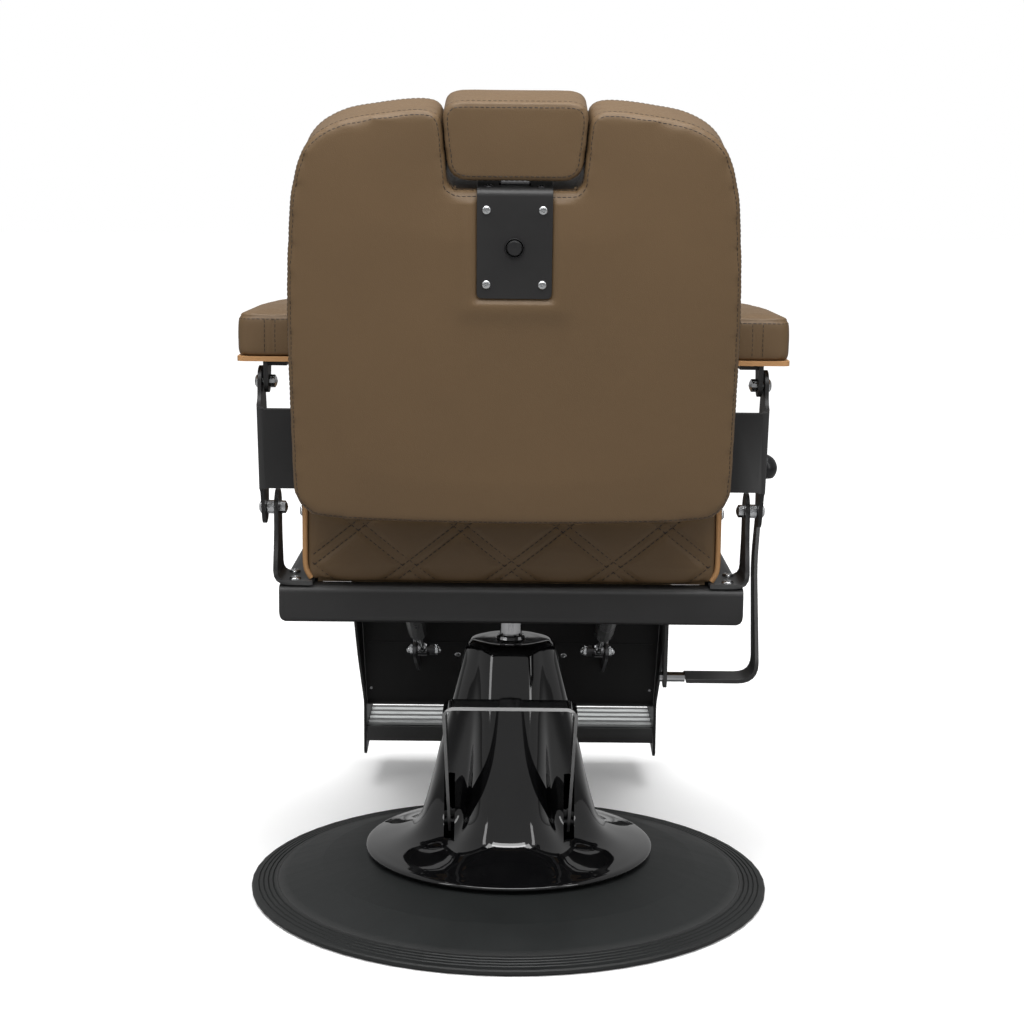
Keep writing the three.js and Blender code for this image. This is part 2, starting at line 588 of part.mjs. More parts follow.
// Gas struts between the hub and the leg rest: a tube on the hub, a rod on the leg rest.
function addStruts() {
  const { x, seat, leg } = STRUT;
  const length = Math.hypot(leg.y - seat.y, leg.z - seat.z);
  const tilt = Math.atan2(leg.z - seat.z, seat.y - leg.y);
  const place = (geometry) => geometry.rotateX(-tilt).translate(x, seat.y, seat.z);
  const alongStrut = (profile) => turned(profile, 16).rotateX(Math.PI / 2);
  const eye = (at) => barX(9, -6, 6, at, 0, 16);
  const bore = (at) => barX(4 + GAP, -9, 9, at, 0);
  const tube = alongStrut([[0, 5], [5, 5], [5, 24], [13, 26], [13, 196], [9, 200], [9, 60], [0, 60]]);
  addPair("strut_tube", place(cut(join(tube, eye(0)), bore(0))), finish.plastic);
  const rod = alongStrut([[0, 74], [4, 74], [4, length - 30], [6, length - 28], [6, length - 5], [0, length - 5]]);
  addPair("strut_rod", place(cut(join(rod, eye(-length)), bore(-length))), finish.chrome);
}

// ---- recline lever ----
function reclineLever() {
  const { y, z } = LEVER;
  const section = strip(softLine([[206, z], [288, z], [289.5, 450], [300, 542]], 22, 6), SHEET);
  const sideView = softPolygon([
    [y - 22, z - 10], [y + 22, z - 10], [y + 22, z + 18, 10], [110, 546], [94, 546], [y - 22, z + 18, 10],
  ]);
  return meet(alongY(section, 60, 230), alongX(sideView, 190, 320));
}

function addLever() {
  const { y, z } = LEVER;
  const right = (geometry) => geometryOf(solidOf(geometry).mirror([1, 0, 0]));
  add("recline_lever", right(reclineLever()), finish.blackPaint);
  add("lever_shaft", right(barX(6, 176, 205.6, y, z)), finish.chrome);
  const ball = new THREE.SphereGeometry(17, 16, 12).rotateX(Math.PI / 2).translate(302, 102, 558);
  add("lever_knob", right(cut(ball, box(280, 330, 80, 130, 530, 546.4))), finish.plastic);
}

addBase();
addSeat();
addBack();
addArms();
addLegRest();
addLever();

export default chair;
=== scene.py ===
# Barber chair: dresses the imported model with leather, stitching, fasteners and finishes
import bpy
import bmesh
import json
import math
import numpy as np
from mathutils import Matrix, Vector
from mathutils.bvhtree import BVHTree

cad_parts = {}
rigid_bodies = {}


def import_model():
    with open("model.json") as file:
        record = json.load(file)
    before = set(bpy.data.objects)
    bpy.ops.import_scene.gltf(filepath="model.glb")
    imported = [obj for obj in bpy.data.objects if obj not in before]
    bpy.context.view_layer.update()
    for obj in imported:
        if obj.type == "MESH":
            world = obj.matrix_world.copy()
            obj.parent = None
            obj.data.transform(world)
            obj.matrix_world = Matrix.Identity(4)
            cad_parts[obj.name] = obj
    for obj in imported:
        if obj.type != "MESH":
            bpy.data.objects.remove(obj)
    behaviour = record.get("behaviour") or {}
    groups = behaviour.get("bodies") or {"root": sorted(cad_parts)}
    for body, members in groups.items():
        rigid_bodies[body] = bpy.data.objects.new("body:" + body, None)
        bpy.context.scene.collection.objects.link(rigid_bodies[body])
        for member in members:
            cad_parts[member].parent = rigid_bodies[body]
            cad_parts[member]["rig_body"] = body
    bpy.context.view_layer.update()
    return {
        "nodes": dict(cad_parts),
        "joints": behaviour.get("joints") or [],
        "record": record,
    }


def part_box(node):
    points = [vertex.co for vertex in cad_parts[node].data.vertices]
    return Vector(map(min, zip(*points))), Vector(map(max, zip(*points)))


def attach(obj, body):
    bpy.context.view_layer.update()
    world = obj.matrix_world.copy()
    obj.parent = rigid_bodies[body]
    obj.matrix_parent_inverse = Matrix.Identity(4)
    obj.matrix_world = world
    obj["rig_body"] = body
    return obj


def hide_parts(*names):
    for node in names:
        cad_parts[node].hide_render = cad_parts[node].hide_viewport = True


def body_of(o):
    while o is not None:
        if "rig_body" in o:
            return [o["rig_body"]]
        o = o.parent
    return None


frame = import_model()
print("frame loaded")

scene = bpy.context.scene
scene.view_settings.view_transform = "Standard"
jointByName = {j["name"]: j for j in frame["joints"]}

# the back leans: x across, out to the rear, up along it, from the recline pivot
backPivot = Vector((0, *jointByName["back_recline"]["pos_m"][1:]))
backUp = Vector(jointByName["headrest_height"]["axis"]).normalized()
backOut = backUp.cross(Vector((1, 0, 0))).normalized()


def onBack(x, out, up):
    return backPivot + Vector((x, 0, 0)) + backOut * out + backUp * up


# small tools

def link(obj):
    scene.collection.objects.link(obj)
    return obj


def newMesh(name, verts, faces, smooth=True):
    mesh = bpy.data.meshes.new(name)
    mesh.from_pydata([tuple(v) for v in verts], [], faces)
    mesh.update()
    if smooth:
        mesh.shade_smooth()
    return link(bpy.data.objects.new(name, mesh))


def paint(obj, material):
    obj.data.materials.clear()
    obj.data.materials.append(material)


def applyModifiers(obj):
    depsgraph = bpy.context.evaluated_depsgraph_get()
    done = bpy.data.meshes.new_from_object(obj.evaluated_get(depsgraph))
    old = obj.data
    obj.modifiers.clear()
    obj.data = done
    bpy.data.meshes.remove(old)
    obj.data.name = obj.name


def turnedPiece(name, profile, place, axis, sides=24):
    # profile is (radius, height) pairs from the axis back to the axis
    verts, faces = [], []
    rings = []
    for radius, height in profile:
        if radius < 1e-7:
            rings.append([len(verts)])
            verts.append(Vector((0, 0, height)))
            continue
        ring = []
        for i in range(sides):
            a = 2 * math.pi * i / sides
            ring.append(len(verts))
            verts.append(Vector((radius * math.cos(a), radius * math.sin(a), height)))
        rings.append(ring)
    for low, high in zip(rings, rings[1:]):
        for i in range(sides):
            j = (i + 1) % sides
            if len(low) == 1:
                faces.append((low[0], high[j], high[i]))
            elif len(high) == 1:
                faces.append((low[i], low[j], high[0]))
            else:
                faces.append((low[i], low[j], high[j], high[i]))
    turn = Vector(axis).to_track_quat("Z", "Y").to_matrix().to_4x4()
    obj = newMesh(name, verts, faces)
    obj.data.transform(Matrix.Translation(place) @ turn)
    tidyNormals(obj)
    sharpen(obj, 35)
    return obj


def tidyNormals(obj):
    bm = bmesh.new()
    bm.from_mesh(obj.data)
    bmesh.ops.remove_doubles(bm, verts=bm.verts, dist=1e-7)
    bmesh.ops.recalc_face_normals(bm, faces=bm.faces)
    bm.to_mesh(obj.data)
    bm.free()


def sharpen(obj, degrees):
    obj.data.shade_smooth()
    obj.data.set_sharp_from_angle(angle=math.radians(degrees))


def cutWith(obj, tool):
    tidyNormals(tool)
    cutter = obj.modifiers.new("cut", "BOOLEAN")
    cutter.operation = "DIFFERENCE"
    cutter.solver = "EXACT"
    cutter.object = tool
    applyModifiers(obj)
    bpy.data.objects.remove(tool)


def boxTool(corners):
    # eight corners: across, then deep, then high
    sides = [(0, 1, 3, 2), (4, 6, 7, 5), (0, 4, 5, 1), (2, 3, 7, 6), (0, 2, 6, 4), (1, 5, 7, 3)]
    return newMesh("boxCut", corners, sides, False)


def cutBox(obj, corners):
    cutWith(obj, boxTool(corners))
    obj.data.shade_smooth()


def roundCorners(points, steps=6):
    # closed outline of (a, b, radius) corners, each softened by a short curve
    made = []
    n = len(points)
    for i, (a, b, r) in enumerate(points):
        here = Vector((a, b))
        before = Vector(points[i - 1][:2]) - here
        after = Vector(points[(i + 1) % n][:2]) - here
        if r <= 0:
            made.append(here)
            continue
        reach = min(r, before.length / 2.05, after.length / 2.05)
        start = here + before.normalized() * reach
        end = here + after.normalized() * reach
        for k in range(steps + 1):
            t = k / steps
            made.append(start * (1 - t) ** 2 + here * 2 * t * (1 - t) + end * t * t)
    return made


def evenLoop(points, spacing):
    # the same closed outline with points at an even spacing
    closed = points + [points[0]]
    lengths = [0]
    for p, q in zip(closed, closed[1:]):
        lengths.append(lengths[-1] + (q - p).length)
    count = max(12, round(lengths[-1] / spacing))
    made = []
    k = 0
    for i in range(count):
        target = lengths[-1] * i / count
        while lengths[k + 1] < target:
            k += 1
        t = (target - lengths[k]) / max(1e-9, lengths[k + 1] - lengths[k])
        made.append(closed[k].lerp(closed[k + 1], t))
    return made


def outwards(loop):
    # unit normals of a closed outline, pointing out of it
    n = len(loop)
    area = sum(loop[i].x * loop[(i + 1) % n].y - loop[(i + 1) % n].x * loop[i].y for i in range(n))
    sign = 1 if area > 0 else -1
    made = []
    for i in range(n):
        along = (loop[(i + 1) % n] - loop[i - 1]).normalized()
        made.append(Vector((along.y, -along.x)) * sign)
    return made


def cushionBody(name, loop, levels, place):
    # loop swept through levels of (depth, inset), then closed at both ends
    normals = outwards(loop)
    n = len(loop)
    verts = []
    for depth, inset in levels:
        verts += [place(p - normal * inset, depth) for p, normal in zip(loop, normals)]
    faces = []
    for r in range(len(levels) - 1):
        for i in range(n):
            j = (i + 1) % n
            faces.append((r * n + i, r * n + j, (r + 1) * n + j, (r + 1) * n + i))
    faces.append(tuple(range(n)))
    faces.append(tuple((len(levels) - 1) * n + i for i in reversed(range(n))))
    obj = newMesh(name, verts, faces)
    tidyNormals(obj)
    return obj


def puff(obj, voxel, cap, pressure, held=None, clamp=None):
    # fills the cushion: an even skin, inflated as cloth, then smoothed
    remesh = obj.modifiers.new("evenSkin", "REMESH")
    remesh.mode = "VOXEL"
    remesh.voxel_size = voxel
    applyModifiers(obj)
    rest = readPoints(obj)
    group = obj.vertex_groups.new(name="held")
    if held:
        group.add([i for i, p in enumerate(rest) if held(p)], 1.0, "REPLACE")
    cloth = obj.modifiers.new("fill", "CLOTH")
    values = cloth.settings
    values.quality = 4
    values.mass = 0.3
    values.tension_stiffness = 20
    values.compression_stiffness = 20
    values.shear_stiffness = 8
    values.bending_stiffness = 1.5
    values.use_pressure = True
    values.uniform_pressure_force = pressure
    values.effector_weights.gravity = 0
    cloth.collision_settings.use_collision = False
    if held:
        values.vertex_group_mass = "held"
    for f in range(1, 21):
        scene.frame_set(f)
    depsgraph = bpy.context.evaluated_depsgraph_get()
    shape = obj.evaluated_get(depsgraph)
    grown = np.empty(len(rest) * 3)
    shape.data.vertices.foreach_get("co", grown)
    grown = grown.reshape(-1, 3)
    obj.modifiers.clear()
    scene.frame_set(1)
    move = grown - rest
    length = np.linalg.norm(move, axis=1, keepdims=True)
    grown = rest + move * np.minimum(1, cap / np.maximum(length, 1e-9))
    if clamp:
        grown = clamp(grown)
    writePoints(obj, grown)
    relax = obj.modifiers.new("relax", "SMOOTH")
    relax.factor = 0.5
    relax.iterations = 2
    finer = obj.modifiers.new("finer", "SUBSURF")
    finer.levels = finer.render_levels = 1
    applyModifiers(obj)
    obj.data.shade_smooth()
    obj.vertex_groups.clear()
    print("filled", obj.name, len(obj.data.vertices), "points")


def readPoints(obj):
    points = np.empty(len(obj.data.vertices) * 3)
    obj.data.vertices.foreach_get("co", points)
    return points.reshape(-1, 3)


def readNormals(obj):
    normals = np.empty(len(obj.data.vertices) * 3)
    obj.data.vertices.foreach_get("normal", normals)
    return normals.reshape(-1, 3)


def writePoints(obj, points):
    obj.data.vertices.foreach_set("co", np.ascontiguousarray(points, dtype=np.float32).ravel())
    obj.data.update()


def surfaceOf(obj):
    points = [v.co.copy() for v in obj.data.vertices]
    return BVHTree.FromPolygons(points, [tuple(p.vertices) for p in obj.data.polygons])


def pressSeam(obj, path, depth, width):
    # sinks the leather along a sewn line
    points, normals = readPoints(obj), readNormals(obj)
    line = np.array([tuple(p) for p in path])
    nearest = np.full(len(points), 1e9)
    for p in line:
        nearest = np.minimum(nearest, np.linalg.norm(points - p, axis=1))
    writePoints(obj, points - normals * (depth * np.exp(-(nearest / width) ** 2))[:, None])


def snapped(path, tree, outwardsAt=None):
    # each point moved to the leather: straight outwards where a way out is given, else to the nearest spot
    made = []
    for p in path:
        place = None
        if outwardsAt:
            way = outwardsAt(p)
            place, normal, _, _ = tree.ray_cast(Vector(p) - way * 0.006, way, 0.05)
        if place is None:
            place, normal, _, _ = tree.find_nearest(Vector(p))
        made.append((place, normal))
    return made


def evenPath(points, spacing):
    lengths = [0]
    for p, q in zip(points, points[1:]):
        lengths.append(lengths[-1] + (q - p).length)
    count = max(2, int(lengths[-1] / spacing))
    made, k = [], 0
    for i in range(count + 1):
        target = lengths[-1] * i / count
        while k < len(points) - 2 and lengths[k + 1] < target:
            k += 1
        t = (target - lengths[k]) / max(1e-9, lengths[k + 1] - lengths[k])
        made.append(points[k].lerp(points[k + 1], min(1, t)))
    return made


def stitches(name, paths, tree, body, thread, outwardsAt=None):
    # short dashes of thread lying on the leather
    verts, faces = [], []
    ring = [(1, 0), (0.5, 0.8), (-0.5, 0.8), (-1, 0), (-0.5, -0.5), (0.5, -0.5)]
    for path in paths:
        step = thread["long"] + thread["gap"]
        spots = snapped(evenPath([Vector(p) for p in path], step), tree, outwardsAt)
        for (a, normal), (b, _) in zip(spots, spots[1:]):
            along = b - a
            if along.length < thread["long"] * 0.4:
                continue
            length = along.length * thread["long"] / step
            along.normalize()
            side = along.cross(normal).normalized()
            start = len(verts)
            centre = (a + b) / 2 + normal * thread["lift"]
            for shift, size in ((-0.5, 0.35), (-0.3, 1), (0.3, 1), (0.5, 0.35)):
                dip = -thread["lift"] * (2.2 if abs(shift) > 0.4 else 0)
                for u, w in ring:
                    verts.append(centre + along * length * shift + side * u * thread["thick"] * size
                                 + normal * (w * thread["thick"] * size + dip))
            for r in range(3):
                low, high = start + r * 6, start + (r + 1) * 6
                for i in range(6):
                    j = (i + 1) % 6
                    faces.append((low + i, low + j, high + j, high + i))
            faces.append(tuple(start + i for i in reversed(range(6))))
            faces.append(tuple(start + 18 + i for i in range(6)))
    obj = newMesh(name, verts, faces)
    tidyNormals(obj)
    paint(obj, darkThread)
    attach(obj, body)


def tube(name, points, radius):
    curve = bpy.data.curves.new(name, "CURVE")
    curve.dimensions = "3D"
    curve.bevel_depth = radius
    curve.bevel_resolution = 3
    curve.use_fill_caps = True
    spline = curve.splines.new("POLY")
    spline.points.add(len(points) - 1)
    for target, p in zip(spline.points, points):
        target.co = (*p, 1)
    temp = link(bpy.data.objects.new(name + "Line", curve))
    bpy.context.view_layer.update()
    mesh = bpy.data.meshes.new_from_object(temp.evaluated_get(bpy.context.evaluated_depsgraph_get()))
    bpy.data.objects.remove(temp)
    obj = link(bpy.data.objects.new(name, mesh))
    obj.data.shade_smooth()
    return obj


# finishes

def nodesOf(name):
    material = bpy.data.materials.new(name)
    material.use_nodes = True
    tree = material.node_tree
    shader = tree.nodes["Principled BSDF"]
    return material, tree, shader


def add(tree, kind, **values):
    node = tree.nodes.new(kind)
    for key, value in values.items():
        if key in node.inputs:
            node.inputs[key].default_value = value
        else:
            setattr(node, key, value)
    return node


def objectSpace(tree, stretch=(1, 1, 1)):
    where = add(tree, "ShaderNodeTexCoord")
    mapping = add(tree, "ShaderNodeMapping")
    mapping.inputs["Scale"].default_value = stretch
    tree.links.new(where.outputs["Object"], mapping.inputs["Vector"])
    return mapping.outputs["Vector"]


def noise(tree, vector, scale, detail=4, rough=0.5):
    node = add(tree, "ShaderNodeTexNoise", Scale=scale, Detail=detail, Roughness=rough)
    tree.links.new(vector, node.inputs["Vector"])
    return node.outputs["Fac"]


def ramp(tree, source, stops):
    node = add(tree, "ShaderNodeValToRGB")
    band = node.color_ramp
    while len(band.elements) < len(stops):
        band.elements.new(0.5)
    for element, (place, colour) in zip(band.elements, stops):
        element.position = place
        element.color = (*colour, 1) if len(colour) == 3 else colour
    tree.links.new(source, node.inputs["Fac"])
    return node.outputs["Color"]


def spread(tree, source, low, high):
    node = add(tree, "ShaderNodeMapRange")
    node.inputs["From Min"].default_value = 0.3
    node.inputs["From Max"].default_value = 0.7
    node.inputs["To Min"].default_value = low
    node.inputs["To Max"].default_value = high
    tree.links.new(source, node.inputs["Value"])
    return node.outputs["Result"]


def bump(tree, shader, heights, distance):
    # heights is a list of (source, strength), laid over each other
    normal = None
    for source, strength in heights:
        node = add(tree, "ShaderNodeBump", Strength=strength, Distance=distance)
        tree.links.new(source, node.inputs["Height"])
        if normal:
            tree.links.new(normal, node.inputs["Normal"])
        normal = node.outputs["Normal"]
    tree.links.new(normal, shader.inputs["Normal"])


def shades(colour, amount):
    return tuple(c * (1 - amount) for c in colour), tuple(min(1, c * (1 + amount)) for c in colour)


leatherLook = {
    "colour": (0.112, 0.069, 0.033), "variation": 0.05, "grain": 620, "shine": (0.46, 0.58), "relief": 0.0004,
    "specular": 0.32,
}


def leather(name, look):
    material, tree, shader = nodesOf(name)
    space = objectSpace(tree)
    low, high = shades(look["colour"], look["variation"])
    patches = noise(tree, space, 5, 5, 0.6)
    tree.links.new(ramp(tree, patches, [(0.3, low), (0.7, high)]), shader.inputs["Base Color"])
    cells = add(tree, "ShaderNodeTexVoronoi", Scale=look["grain"])
    cells.feature = "DISTANCE_TO_EDGE"
    tree.links.new(space, cells.inputs["Vector"])
    folds = noise(tree, space, look["grain"] * 0.4, 6, 0.65)
    waves = noise(tree, space, 14, 3, 0.5)
    bump(tree, shader, [(waves, 0.5), (folds, 0.22), (cells.outputs["Distance"], 0.35)], look["relief"])
    tree.links.new(spread(tree, folds, *look["shine"]), shader.inputs["Roughness"])
    shader.inputs["Specular IOR Level"].default_value = look["specular"]
    return material


threadLook = {"colour": (0.016, 0.011, 0.008), "shine": (0.6, 0.8)}


def thread(name, look):
    material, tree, shader = nodesOf(name)
    space = objectSpace(tree)
    twist = noise(tree, space, 1500, 2, 0.5)
    low, high = shades(look["colour"], 0.3)
    tree.links.new(ramp(tree, twist, [(0.35, low), (0.65, high)]), shader.inputs["Base Color"])
    tree.links.new(spread(tree, twist, *look["shine"]), shader.inputs["Roughness"])
    bump(tree, shader, [(twist, 0.4)], 0.0002)
    return material


# peel and relief are the coat's fine texture, and worn is the grey of its rubbed edges
coatLook = {
    "satinBlack": {
        "colour": (0.0165, 0.0160, 0.0162), "shine": (0.38, 0.48),
        "peel": 420, "relief": 0.10, "worn": 0.05,
    },
    "castBlack": {
        "colour": (0.014, 0.0155, 0.0155), "shine": (0.50, 0.62),
        "peel": 260, "relief": 0.22, "worn": 0.05,
    },
    "rimBlack": {
        "colour": (0.010, 0.011, 0.011), "shine": (0.42, 0.55),
        "peel": 500, "relief": 0.12, "worn": 0.035,
    },
    # a light grey coat that paints a highlight on the pedal's rear-facing edge
    "edgeHighlightCoat": {
        "colour": (0.34, 0.34, 0.34), "shine": (0.30, 0.42),
        "peel": 300, "relief": 0.05, "worn": 0.5,
    },
    "knobBlack": {
        "colour": (0.010, 0.010, 0.011), "shine": (0.22, 0.30),
        "peel": 600, "relief": 0.05, "worn": 0.02,
    },
}
coatSpecular = 0.34


def coat(name, look):
    # powder coat: a faint orange peel, patches of shine, and edges rubbed lighter
    material, tree, shader = nodesOf(name)
    space = objectSpace(tree)
    patches = noise(tree, space, 9, 5, 0.6)
    low, high = shades(look["colour"], 0.14)
    body = ramp(tree, patches, [(0.3, low), (0.7, high)])
    edges = add(tree, "ShaderNodeNewGeometry")
    rub = ramp(tree, edges.outputs["Pointiness"], [(0.53, (0, 0, 0)), (0.62, (1, 1, 1))])
    mix = add(tree, "ShaderNodeMixRGB")
    tree.links.new(rub, mix.inputs["Fac"])
    tree.links.new(body, mix.inputs["Color1"])
    mix.inputs["Color2"].default_value = (look["worn"], look["worn"], look["worn"], 1)
    tree.links.new(mix.outputs["Color"], shader.inputs["Base Color"])
    peel = noise(tree, space, look["peel"], 3, 0.5)
    tree.links.new(spread(tree, patches, *look["shine"]), shader.inputs["Roughness"])
    bump(tree, shader, [(peel, look["relief"])], 0.0004)
    shader.inputs["Specular IOR Level"].default_value = coatSpecular
    return material


glossLook = {
    "dark": (0.0035, 0.0035, 0.004), "light": (0.006, 0.006, 0.0065), "shine": (0.03, 0.07), "coat": 0.6,
}


def glossPaint(name, look):
    # deep gloss paint with a clear coat and a very slight waviness
    material, tree, shader = nodesOf(name)
    space = objectSpace(tree)
    haze = noise(tree, space, 30, 4, 0.6)
    colour = ramp(tree, haze, [(0.3, look["dark"]), (0.7, look["light"])])
    tree.links.new(colour, shader.inputs["Base Color"])
    tree.links.new(spread(tree, haze, *look["shine"]), shader.inputs["Roughness"])
    shader.inputs["Coat Weight"].default_value = look["coat"]
    shader.inputs["Coat Roughness"].default_value = 0.03
    waves = noise(tree, space, 11, 2, 0.4)
    dust = noise(tree, space, 300, 2, 0.4)
    bump(tree, shader, [(waves, 0.12), (dust, 0.02)], 0.0008)
    return material


metalLook = {
    "chrome": {
        "colour": (0.46, 0.46, 0.47), "shine": (0.08, 0.15),
        "streaks": (1, 1, 1), "scale": 40,
    },
    "platedSteel": {
        "colour": (0.55, 0.56, 0.57), "shine": (0.18, 0.30),
        "streaks": (1, 1, 1), "scale": 120,
    },
    "darkSteel": {
        "colour": (0.16, 0.16, 0.165), "shine": (0.30, 0.42),
        "streaks": (1, 1, 1), "scale": 120,
    },
    "brushedTread": {
        "colour": (0.20, 0.205, 0.205), "shine": (0.38, 0.55),
        "streaks": (0.05, 1, 1), "scale": 500,
    },
}


def metal(name, look):
    material, tree, shader = nodesOf(name)
    space = objectSpace(tree, look["streaks"])
    streaks = noise(tree, space, look["scale"], 4, 0.6)
    low, high = shades(look["colour"], 0.06)
    tree.links.new(ramp(tree, streaks, [(0.3, low), (0.7, high)]), shader.inputs["Base Color"])
    tree.links.new(spread(tree, streaks, *look["shine"]), shader.inputs["Roughness"])
    shader.inputs["Metallic"].default_value = 1
    bump(tree, shader, [(streaks, 0.05)], 0.0003)
    return material


woodLook = {"dark": (0.36, 0.23, 0.12), "light": (0.50, 0.34, 0.19), "shine": (0.6, 0.8)}


def plywood(name, look):
    material, tree, shader = nodesOf(name)
    space = objectSpace(tree, (1, 7, 7))
    wave = add(tree, "ShaderNodeTexWave", Scale=9, Distortion=6, Detail=4)
    tree.links.new(space, wave.inputs["Vector"])
    colour = ramp(tree, wave.outputs["Fac"], [(0.2, look["dark"]), (0.8, look["light"])])
    tree.links.new(colour, shader.inputs["Base Color"])
    fibres = noise(tree, space, 160, 5, 0.7)
    tree.links.new(spread(tree, fibres, *look["shine"]), shader.inputs["Roughness"])
    bump(tree, shader, [(fibres, 0.3)], 0.0005)
    return material


brownLeather = leather("brownLeather", leatherLook)
tanLeather = leather("tanLeather", {**leatherLook, "colour": (0.42, 0.225, 0.095), "grain": 900})
darkThread = thread("darkThread", threadLook)
satinBlack, castBlack, rimBlack, edgeHighlightCoat, knobBlack = (coat(name, coatLook[name]) for name in coatLook)
glossBlack = glossPaint("glossBlack", glossLook)
chrome, platedSteel, darkSteel, brushedTread = (metal(name, metalLook[name]) for name in metalLook)
boardWood = plywood("boardWood", woodLook)
finishBySlot = {
    "leather": brownLeather, "tan_trim": tanLeather, "black_paint": satinBlack, "gloss_black": glossBlack,
    "matte_black": castBlack, "rubber": rimBlack, "chrome": chrome, "steel": platedSteel,
    "tread": brushedTread, "plywood": boardWood, "plastic": knobBlack,
}
slotOfNode = {part["node"]: part["material_slot"] for part in frame["record"]["subparts"]}
darkened = ("leg_lug_left", "leg_lug_right", "leg_hinge_rod", "pump_cylinder")
for nodeName, node in frame["nodes"].items():
    paint(node, darkSteel if nodeName in darkened else finishBySlot[slotOfNode[nodeName]])
    sharpen(node, 32)
print("finishes made")

# studio
studio = {
    "floorColour": (0.93, 0.93, 0.93), "floorBounce": (0.30, 0.30, 0.30), "nearGlow": 0.12, "farGlow": 0.72,
    "fill": 0.38, "backdrop": 1.0,
    "camera": (0, 2.6, 0.9), "tilt": 9.07, "roll": 0.55, "lens": 73.5,
}


def makeStudio(look):
    bpy.ops.mesh.primitive_plane_add(size=60, location=(0, 0, 0))
    floor = bpy.context.object
    floor.name = "floor"
    material, tree, shader = nodesOf("paleFloor")
    shade = noise(tree, objectSpace(tree), 2, 3, 0.5)
    low, high = shades(look["floorColour"], 0.01)
    # the floor is seen pale, but throws only a little light back up at the chair
    seen = add(tree, "ShaderNodeLightPath").outputs["Is Camera Ray"]
    pick = add(tree, "ShaderNodeMix", data_type="RGBA")
    tree.links.new(seen, pick.inputs["Factor"])
    pick.inputs["A"].default_value = (*look["floorBounce"], 1)
    tree.links.new(ramp(tree, shade, [(0.3, low), (0.7, high)]), pick.inputs["B"])
    tree.links.new(pick.outputs["Result"], shader.inputs["Base Color"])
    shader.inputs["Roughness"].default_value = 0.9
    # far from the chair the floor runs out into the white backdrop
    distance = add(tree, "ShaderNodeVectorMath", operation="LENGTH")
    tree.links.new(objectSpace(tree), distance.inputs[0])
    glow = add(tree, "ShaderNodeMapRange", interpolation_type="SMOOTHSTEP")
    glow.inputs["From Min"].default_value = 0.5
    glow.inputs["From Max"].default_value = 3.6
    glow.inputs["To Min"].default_value = look["nearGlow"]
    glow.inputs["To Max"].default_value = look["farGlow"]
    tree.links.new(distance.outputs["Value"], glow.inputs["Value"])
    shown = add(tree, "ShaderNodeMath", operation="MULTIPLY")
    tree.links.new(glow.outputs["Result"], shown.inputs[0])
    tree.links.new(seen, shown.inputs[1])
    tree.links.new(shown.outputs["Value"], shader.inputs["Emission Strength"])
    shader.inputs["Emission Color"].default_value = (1, 1, 1, 1)
    paint(floor, material)
    world = bpy.data.worlds.new("studioWorld")
    world.use_nodes = True
    # the backdrop is seen white, and lights the chair more gently
    sky = world.node_tree
    background = sky.nodes["Background"]
    background.inputs["Color"].default_value = (1, 1, 1, 1)
    seen = add(sky, "ShaderNodeLightPath")
    strength = add(sky, "ShaderNodeMapRange")
    strength.inputs["To Min"].default_value = look["fill"]
    strength.inputs["To Max"].default_value = look["backdrop"]
    sky.links.new(seen.outputs["Is Camera Ray"], strength.inputs["Value"])
    sky.links.new(strength.outputs["Result"], background.inputs["Strength"])
    scene.world = world


def softbox(name, place, aim, size, power):
    light = bpy.data.lights.new(name, "AREA")
    light.shape = "RECTANGLE"
    light.size, light.size_y = size
    light.energy = power
    obj = link(bpy.data.objects.new(name, light))
    obj.location = place
    obj.rotation_euler = (Vector(aim) - Vector(place)).to_track_quat("-Z", "Y").to_euler()


makeStudio(studio)
softbox("leftBox", (2.3, 1.9, 1.7), (0, 0, 0.7), (0.5, 2.0), 10)
softbox("rightBox", (-2.3, 1.9, 1.7), (0, 0, 0.7), (0.5, 2.0), 10)
softbox("topBox", (0, 0.9, 3.2), (0, 0.1, 0.4), (3.4, 3.4), 165)
softbox("rearBox", (0, 1.7, 1.75), (0, 0.4, 0.85), (1.5, 0.5), 13.5)

cameraData = bpy.data.cameras.new("camera")
cameraData.lens = studio["lens"]
cameraData.sensor_width = 36
camera = link(bpy.data.objects.new("camera", cameraData))
camera.location = studio["camera"]
level = Matrix.Rotation(math.pi, 4, "Z") @ Matrix.Rotation(math.radians(90 - studio["tilt"]), 4, "X")
rolled = Matrix.Rotation(math.radians(studio["roll"]), 4, "Z")
camera.matrix_world = Matrix.Translation(studio["camera"]) @ level @ rolled
scene.camera = camera
print("studio set")

# back cover
backLook = {
    "frontEdge": 0.038, "rear": 0.1352, "voxel": 0.006, "crownFront": 0.022, "crownRear": 0.0030,
    "seamInset": 0.0006, "seamDepth": 0.0014, "bandStitch": 0.1255, "quiltStart": 0.24, "sag": 0.0085,
    "swell": 0.0022, "notchFloor": 0.3928, "boardEdge": 0.3932,
}
# half of the outline from the bottom corner up to the notch: across, up, corner radius
backHalf = [
    (0.2350, 0.0375, 0.036), (0.2378, 0.230, 0.060), (0.2365, 0.300, 0.040), (0.2305, 0.393, 0.030),
    (0.2155, 0.442, 0.030), (0.181, 0.464, 0.030), (0.110, 0.4745, 0.028), (0.0750, 0.4745, 0.019),
    (0.0690, 0.3922, 0.011),
]


def backLoop(look):
    mirrored = [(-x, u, r) for x, u, r in reversed(backHalf)]
    loop = evenLoop(roundCorners(backHalf + mirrored), 0.006)
    # the bottom hangs a little lower in the middle
    return [Vector((p.x, p.y - look["sag"] * (1 - (p.x / 0.236) ** 2) * (p.y < 0.06))) for p in loop]


